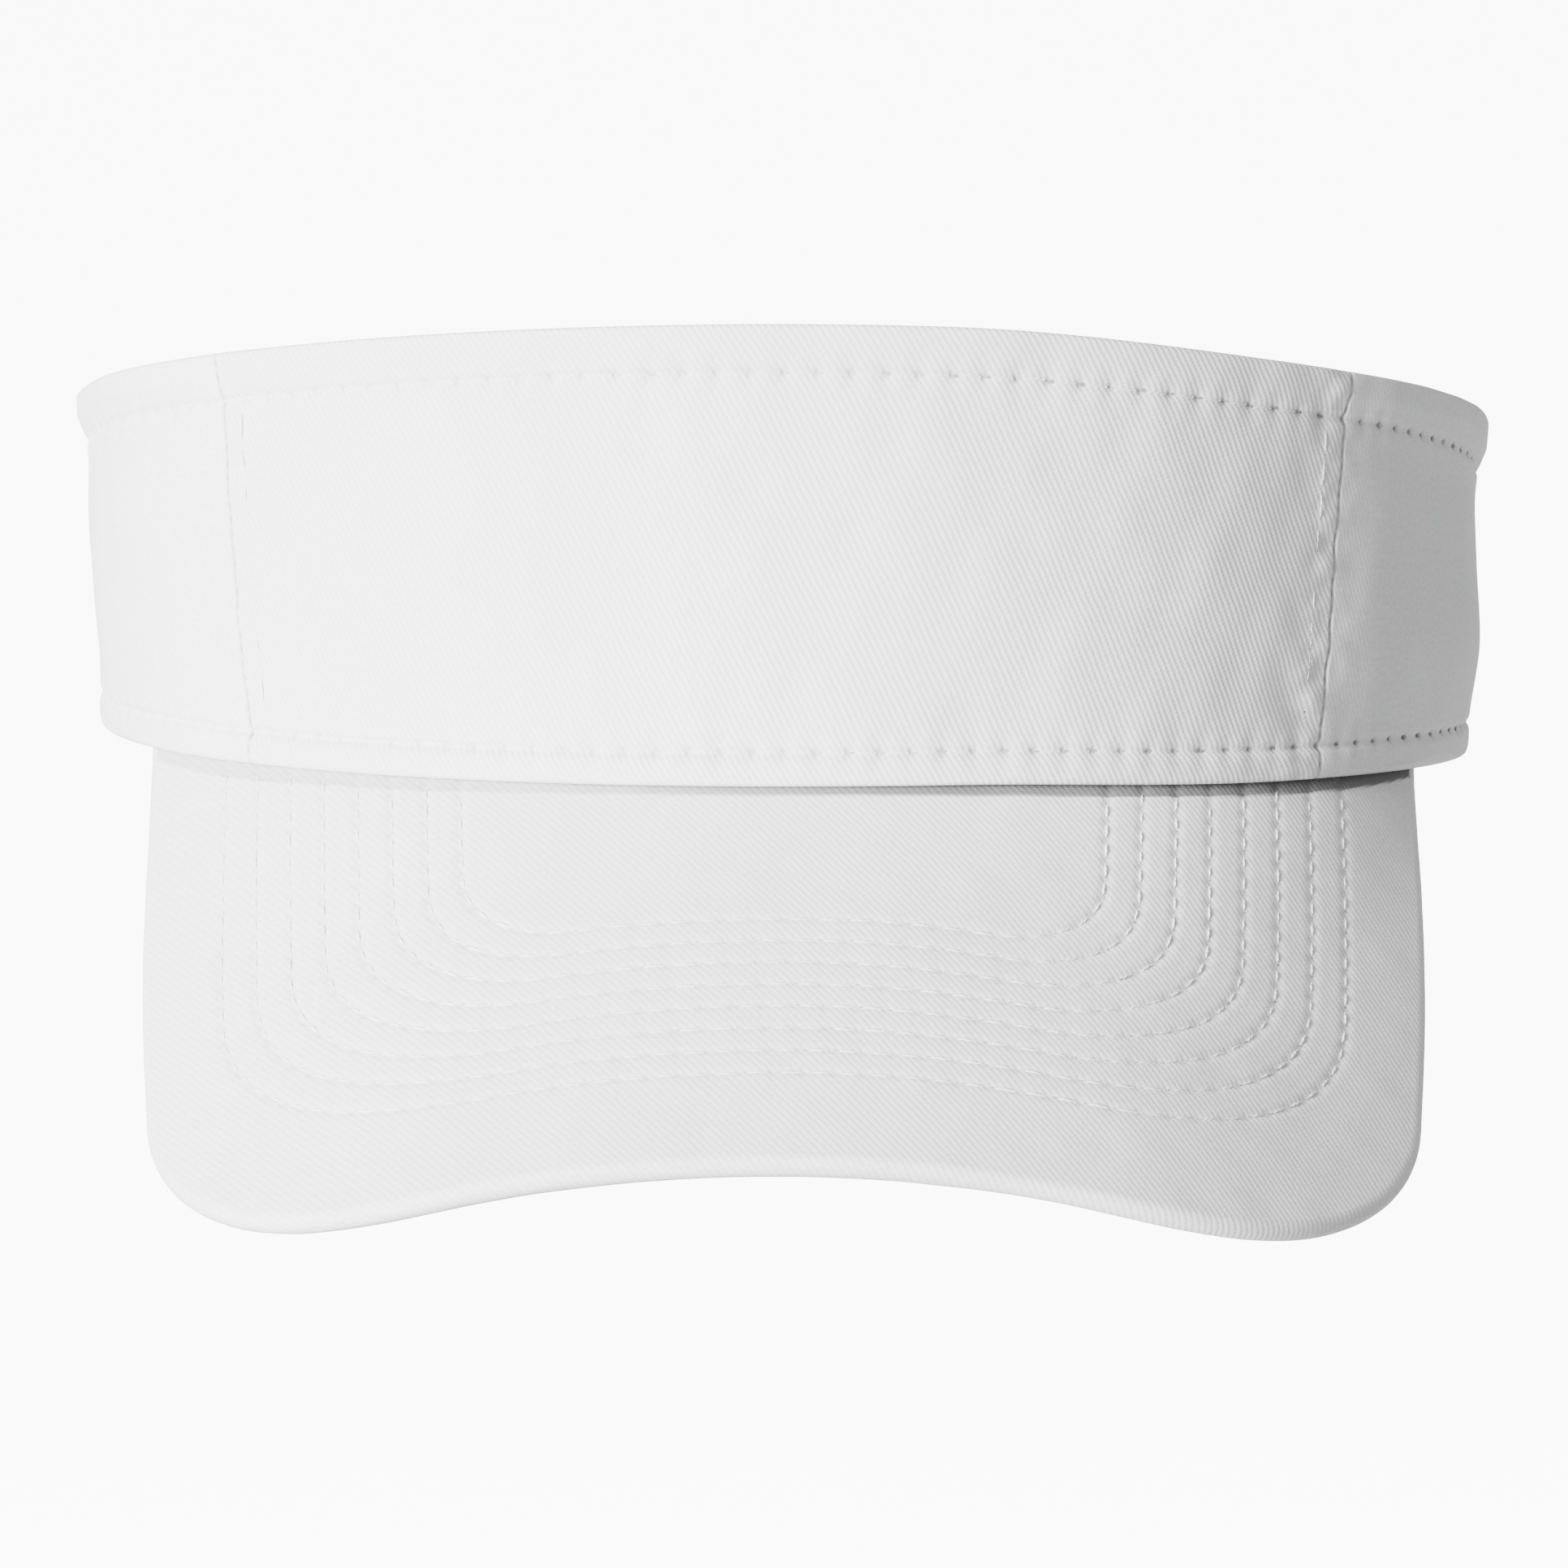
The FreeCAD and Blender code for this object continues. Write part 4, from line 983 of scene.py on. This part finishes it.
def make_strap():
    turns = np.linspace(STRAP_TAIL, STRAP_ROOT, 330)[:, None]
    half, thick = STRAP_WIDTH / 2, STRAP_THICK / 2
    run = [-half + 0.5, *np.linspace(-half + 1, half - 1, 30), half - 0.5]
    rim = [(half - 0.12, -thick * 0.6), (half, 0.0), (half - 0.12, thick * 0.6)]
    loop = [(z, -thick) for z in run] + rim + [(z, thick) for z in run[::-1]]
    loop += [(-z, level) for z, level in rim[::-1]]
    across, out = np.array(loop).T
    u = turns * STRAP_RADIUS
    edge_line = half - 2.2
    side = np.sign(out) * (np.abs(out) > thick * 0.9)
    groove = 0.14 * (bump(across - edge_line, 0.5) + bump(across + edge_line, 0.5))
    step = np.abs((u / STRAP_STITCH + 0.5) % 1.0 - 0.5) * STRAP_STITCH
    # the needle holes are dented and also painted dark as painted shade
    hole = bump(step, 0.5) * (bump(across - edge_line, 0.5) + bump(across + edge_line, 0.5)) * np.abs(side)
    flat = 0.05 * ripple(u, across[None, :], 14.0, 41) - groove - 0.15 * hole
    points = on_strap(turns, STRAP_MIDDLE + across, out + side * (flat - 0.06))
    place = distances(np.array(loop))
    cloth = np.stack(np.broadcast_arrays(u, place[None, :]), -1)
    made = swept("adjuster_strap_cloth", points, strap_cloth, cloth, hole, flip=True)
    attach(made, "strap", "adjuster_strap")
    marks = np.arange(math.ceil(STRAP_TAIL * STRAP_RADIUS / STRAP_STITCH) + 1,
                      math.floor(STRAP_ROOT * STRAP_RADIUS / STRAP_STITCH) - 1) * STRAP_STITCH
    starts, ends, normals = [], [], []
    for face in (1, -1):
        for z in (edge_line, -edge_line):
            a, b = (marks + 0.45) / STRAP_RADIUS, (marks + STRAP_STITCH - 0.45) / STRAP_RADIUS
            level = face * (thick - 0.13)
            starts.append(on_strap(a, STRAP_MIDDLE + z, level))
            ends.append(on_strap(b, STRAP_MIDDLE + z, level))
            normals.append(face * (on_strap(a, 0.0, 1.0) - on_strap(a, 0.0, 0.0)))
    starts, ends, normals = (np.concatenate(part) for part in (starts, ends, normals))
    made = stitches("strap_thread", starts, ends, normals, radius=0.17, rise=0.08, sides=6, rings=6, pit=0.16)
    attach(made, "strap")


BUCKLE_TURN = -BUCKLE_ANGLE
FRAME_LENGTH, FRAME_WALL, PLATE, CHEEK_HEIGHT = 18.0, 1.1, 0.8, 4.4
BAR_X, BAR_OUT, PIN_X, PIN_OUT, PIN_R, BARREL_R = -7.4, 3.0, 6.0, 2.6, 0.8, 1.6
CHEEK_INNER = STRAP_WIDTH / 2 + 0.5
PLATE_TOP = -(STRAP_THICK / 2 + 0.75)


def buckle_place(points):
    """From the buckle's own x along the strap, y outwards and z up to the object's frame."""
    points = np.asarray(points, float)
    c, s = math.cos(BUCKLE_TURN), math.sin(BUCKLE_TURN)
    base = on_strap(BUCKLE_TURN, STRAP_MIDDLE, 0.0)
    x, y, z = points.T
    return np.stack([base[0] + x * c + y * s, base[1] - x * s + y * c, base[2] + z], -1)


def prism(outline, low, high, bevel=0.0, segments=3):
    """Points and faces of an outline in the buckle's x and y, extruded in z, with rounded rims."""
    outline = np.asarray(outline, float)
    n = len(outline)
    middle = outline.mean(0)
    tangent = np.roll(outline, -1, 0) - np.roll(outline, 1, 0)
    tangent /= np.linalg.norm(tangent, axis=1, keepdims=True)
    inward = np.stack([-tangent[:, 1], tangent[:, 0]], 1)
    if ((outline + inward - middle) ** 2).sum() > ((outline - inward - middle) ** 2).sum():
        inward = -inward
    levels = [(bevel * (1 - math.sin(a)), low + bevel * (1 - math.cos(a)))
              for a in np.linspace(0, math.pi / 2, segments + 1)]
    levels += [(inset, low + high - z) for inset, z in levels[::-1]]
    rings = [np.column_stack([outline + inward * inset, np.full(n, z)]) for inset, z in levels]
    points = np.concatenate(rings)
    count = len(rings)
    faces = list(grid_faces(count, n, closed=True))
    faces += [list(range(n))[::-1], list(range((count - 1) * n, count * n))]
    return points, faces


def joined(parts):
    points, faces, start = [], [], 0
    for p, f in parts:
        points.append(p)
        faces += [[i + start for i in face] for face in f]
        start += len(p)
    return np.concatenate(points), faces


def round_outline(x, y, r, count=28):
    angles = np.linspace(0, 2 * math.pi, count, endpoint=False)
    return [(x + r * math.cos(a), y + r * math.sin(a)) for a in angles]


def rounded_box(x0, x1, y0, y1, r, count=6):
    corners = [(x1 - r, y1 - r, 0), (x0 + r, y1 - r, 1), (x0 + r, y0 + r, 2), (x1 - r, y0 + r, 3)]
    points = []
    for x, y, quarter in corners:
        for a in np.linspace(quarter * math.pi / 2, (quarter + 1) * math.pi / 2, count):
            points.append((x + r * math.cos(a), y + r * math.sin(a)))
    return points


def metal(name, parts, body, node):
    """A metal piece of several bodies, with crisp edges."""
    points, faces = joined(parts)
    made = make_mesh(name, buckle_place(points), faces, buckle_brass, points)
    edges = made.modifiers.new("edges", "EDGE_SPLIT")
    edges.split_angle = math.radians(38)
    attach(made, body, node)


def make_buckle():
    half = FRAME_LENGTH / 2
    outer = CHEEK_INNER + FRAME_WALL
    cheek = rounded_box(-half, half, PLATE_TOP - PLATE, CHEEK_HEIGHT, 1.6)
    plate = rounded_box(-half, half, PLATE_TOP - PLATE, PLATE_TOP, 0.3, 4)
    bar = round_outline(BAR_X, BAR_OUT, 0.98)
    frame_parts = [prism(cheek, -outer, -CHEEK_INNER, 0.3), prism(cheek, CHEEK_INNER, outer, 0.3),
                   prism(plate, -CHEEK_INNER - 0.2, CHEEK_INNER + 0.2), prism(bar, -outer + 0.1, outer - 0.1)]
    metal("buckle_frame_metal", frame_parts, "crown_and_bill", "buckle_frame")
    pin = round_outline(PIN_X, PIN_OUT, PIN_R)
    head = round_outline(PIN_X, PIN_OUT, 1.25)
    heads = [prism(head, -outer - 0.4, -outer, 0.15), prism(head, outer, outer + 0.4, 0.15)]
    metal("buckle_pin_metal", [prism(pin, -outer - 0.1, outer + 0.1), *heads], "crown_and_bill", "buckle_pin")


def make_lever():
    """One bent piece of sheet metal: barrel, gripping tooth and a plate with a turned-up lip."""
    wide = CHEEK_INNER - 0.4
    top = PIN_OUT + BARREL_R
    around = [(PIN_X + BARREL_R * math.cos(a), PIN_OUT + BARREL_R * math.sin(a))
              for a in np.radians(np.arange(90, -200, -14))]
    tooth = len(around) - 1
    around = around[:13] + [(PIN_X - 0.1, PIN_OUT - BARREL_R - 0.2)] + around[13:tooth]
    end = PIN_X - 11.0
    lip = [(PIN_X - 2.2, top - 1.0), (end + 2.2, top - 1.0), (end + 1.2, top - 0.9), (end + 0.3, top - 0.55),
           (end, top - 0.1), (end + 0.25, top + 0.15), (end + 0.9, top + 0.02), (end + 1.8, top),
           (PIN_X - 2.2, top)]
    plate = around + lip
    ribs = []
    for k in range(5):
        x = end + 3.2 + 1.1 * k
        ribs.append(prism(round_outline(x, top - 0.12, 0.3, 12), -wide + 2.5, wide - 2.5))
    metal("buckle_lever_metal", [prism(plate, -wide, wide, 0.18), *ribs], "clamp_lever", "buckle_lever")


def make_loop():
    """The tab that holds the buckle, one strip folded round the bar and back to the right panel's end."""
    half_width, half_ply, bar_hole, ply_pitch = CHEEK_INNER - 1.2, 0.3, 1.1, 0.67
    end_x = -(math.radians(PANEL_END) - BUCKLE_ANGLE) * STRAP_RADIUS - 1.4
    low, reach = 0.65 + CASING_CLEARANCE + half_ply, bar_hole + half_ply
    turns = np.radians(np.arange(-80, 216, 12))
    around = np.stack([BAR_X + reach * np.cos(turns), BAR_OUT + reach * np.sin(turns)], 1)
    into = [(end_x, low), (BAR_X - 1.6, low)]
    back = [(BAR_X - 2.4, low + ply_pitch), (end_x, low + ply_pitch)]
    corners = np.concatenate([into, around, back])
    length = distances(corners)[-1]
    path = even(corners, 80)
    ahead = np.gradient(path, axis=0)
    ahead /= np.linalg.norm(ahead, axis=1, keepdims=True)
    aside = np.stack([ahead[:, 1], -ahead[:, 0]], 1) * half_ply
    outline = np.concatenate([path + aside, (path - aside)[::-1]])
    place = np.linspace(0, length, len(path))
    place = np.concatenate([place, place[::-1]])
    levels = np.linspace(-half_width, half_width, 40)
    loops = []
    for z in levels:
        ring = outline + np.array([0.0, 0.03 * math.sin(z * 2.1)])
        ring[:, 1] -= (ring[:, 0] ** 2) / (2 * STRAP_RADIUS)
        loops.append(np.column_stack([ring, np.full(len(ring), z)]))
    loops = np.array(loops)
    cloth = np.stack(np.broadcast_arrays(place[None, :], levels[:, None]), -1)
    points = buckle_place(loops.reshape(-1, 3)).reshape(loops.shape)
    made = swept("buckle_loop_cloth", points, strap_cloth, cloth)
    attach(made, "crown_and_bill", "buckle_loop")


# ---- studio
def make_studio():
    def flat(name, corners, material):
        mesh = bpy.data.meshes.new(name)
        mesh.from_pydata(corners, [], [(0, 1, 2, 3)])
        mesh.materials.append(material)
        made = bpy.data.objects.new(name, mesh)
        bpy.context.scene.collection.objects.link(made)
        return made

    floor = Nodes("floor_paint")
    noise = floor.noise(floor.add("ShaderNodeTexCoord").outputs["Object"], 6.0, 4.0)
    floor.link(floor.range(noise, 0.7, 0.8), "Roughness")
    floor.shader.inputs["Base Color"].default_value = (0.93, 0.93, 0.93, 1)
    level = -0.6        # well under the object, so that its shade stays soft
    flat("floor", [(-6, -3, level), (6, -3, level), (6, 7, level), (-6, 7, level)], floor.material)

    wall = Nodes("backdrop_glow")
    wall.shader.inputs["Base Color"].default_value = (0.9, 0.9, 0.9, 1)
    wall.shader.inputs["Emission Color"].default_value = (1, 1, 1, 1)
    wall.shader.inputs["Emission Strength"].default_value = 9.0
    flat("backdrop", [(-1, 3, level), (1, 3, level), (1, 3, 0.5), (-1, 3, 0.5)], wall.material)

    world = bpy.data.worlds.new("studio")
    world.use_nodes = True
    world.node_tree.nodes["Background"].inputs[0].default_value = (1, 1, 1, 1)
    world.node_tree.nodes["Background"].inputs[1].default_value = 0.55
    bpy.context.scene.world = world

    lights = [("key", (-1.2, -1.2, 0.2), 1.0, 19.0), ("top", (-0.7, -0.7, 1.3), 0.9, 0.7)]
    for name, place, size, power in lights:
        lamp = bpy.data.lights.new(name, "AREA")
        lamp.shape = "DISK"
        lamp.size = size
        lamp.energy = power
        lamp.spread = math.radians(45)
        made = bpy.data.objects.new(name, lamp)
        made.location = place
        made.rotation_euler = (Vector((0, 0, 0.02)) - made.location).to_track_quat("-Z", "Y").to_euler()
        bpy.context.scene.collection.objects.link(made)


def make_camera():
    target = Vector((0, -REACH * MM, 0.0004))
    away, height = 1.2, math.radians(4.0)
    camera = bpy.data.cameras.new("camera")
    camera.sensor_width = 36.0
    camera.lens = 211.304
    made = bpy.data.objects.new("camera", camera)
    made.location = target + Vector((0, -away * math.cos(height), away * math.sin(height)))
    made.rotation_euler = (target - made.location).to_track_quat("-Z", "Y").to_euler()
    bpy.context.scene.collection.objects.link(made)
    bpy.context.scene.camera = made


make_crown()
make_linings()
make_bill()
make_strap()
make_buckle()
make_lever()
make_loop()
make_studio()
make_camera()
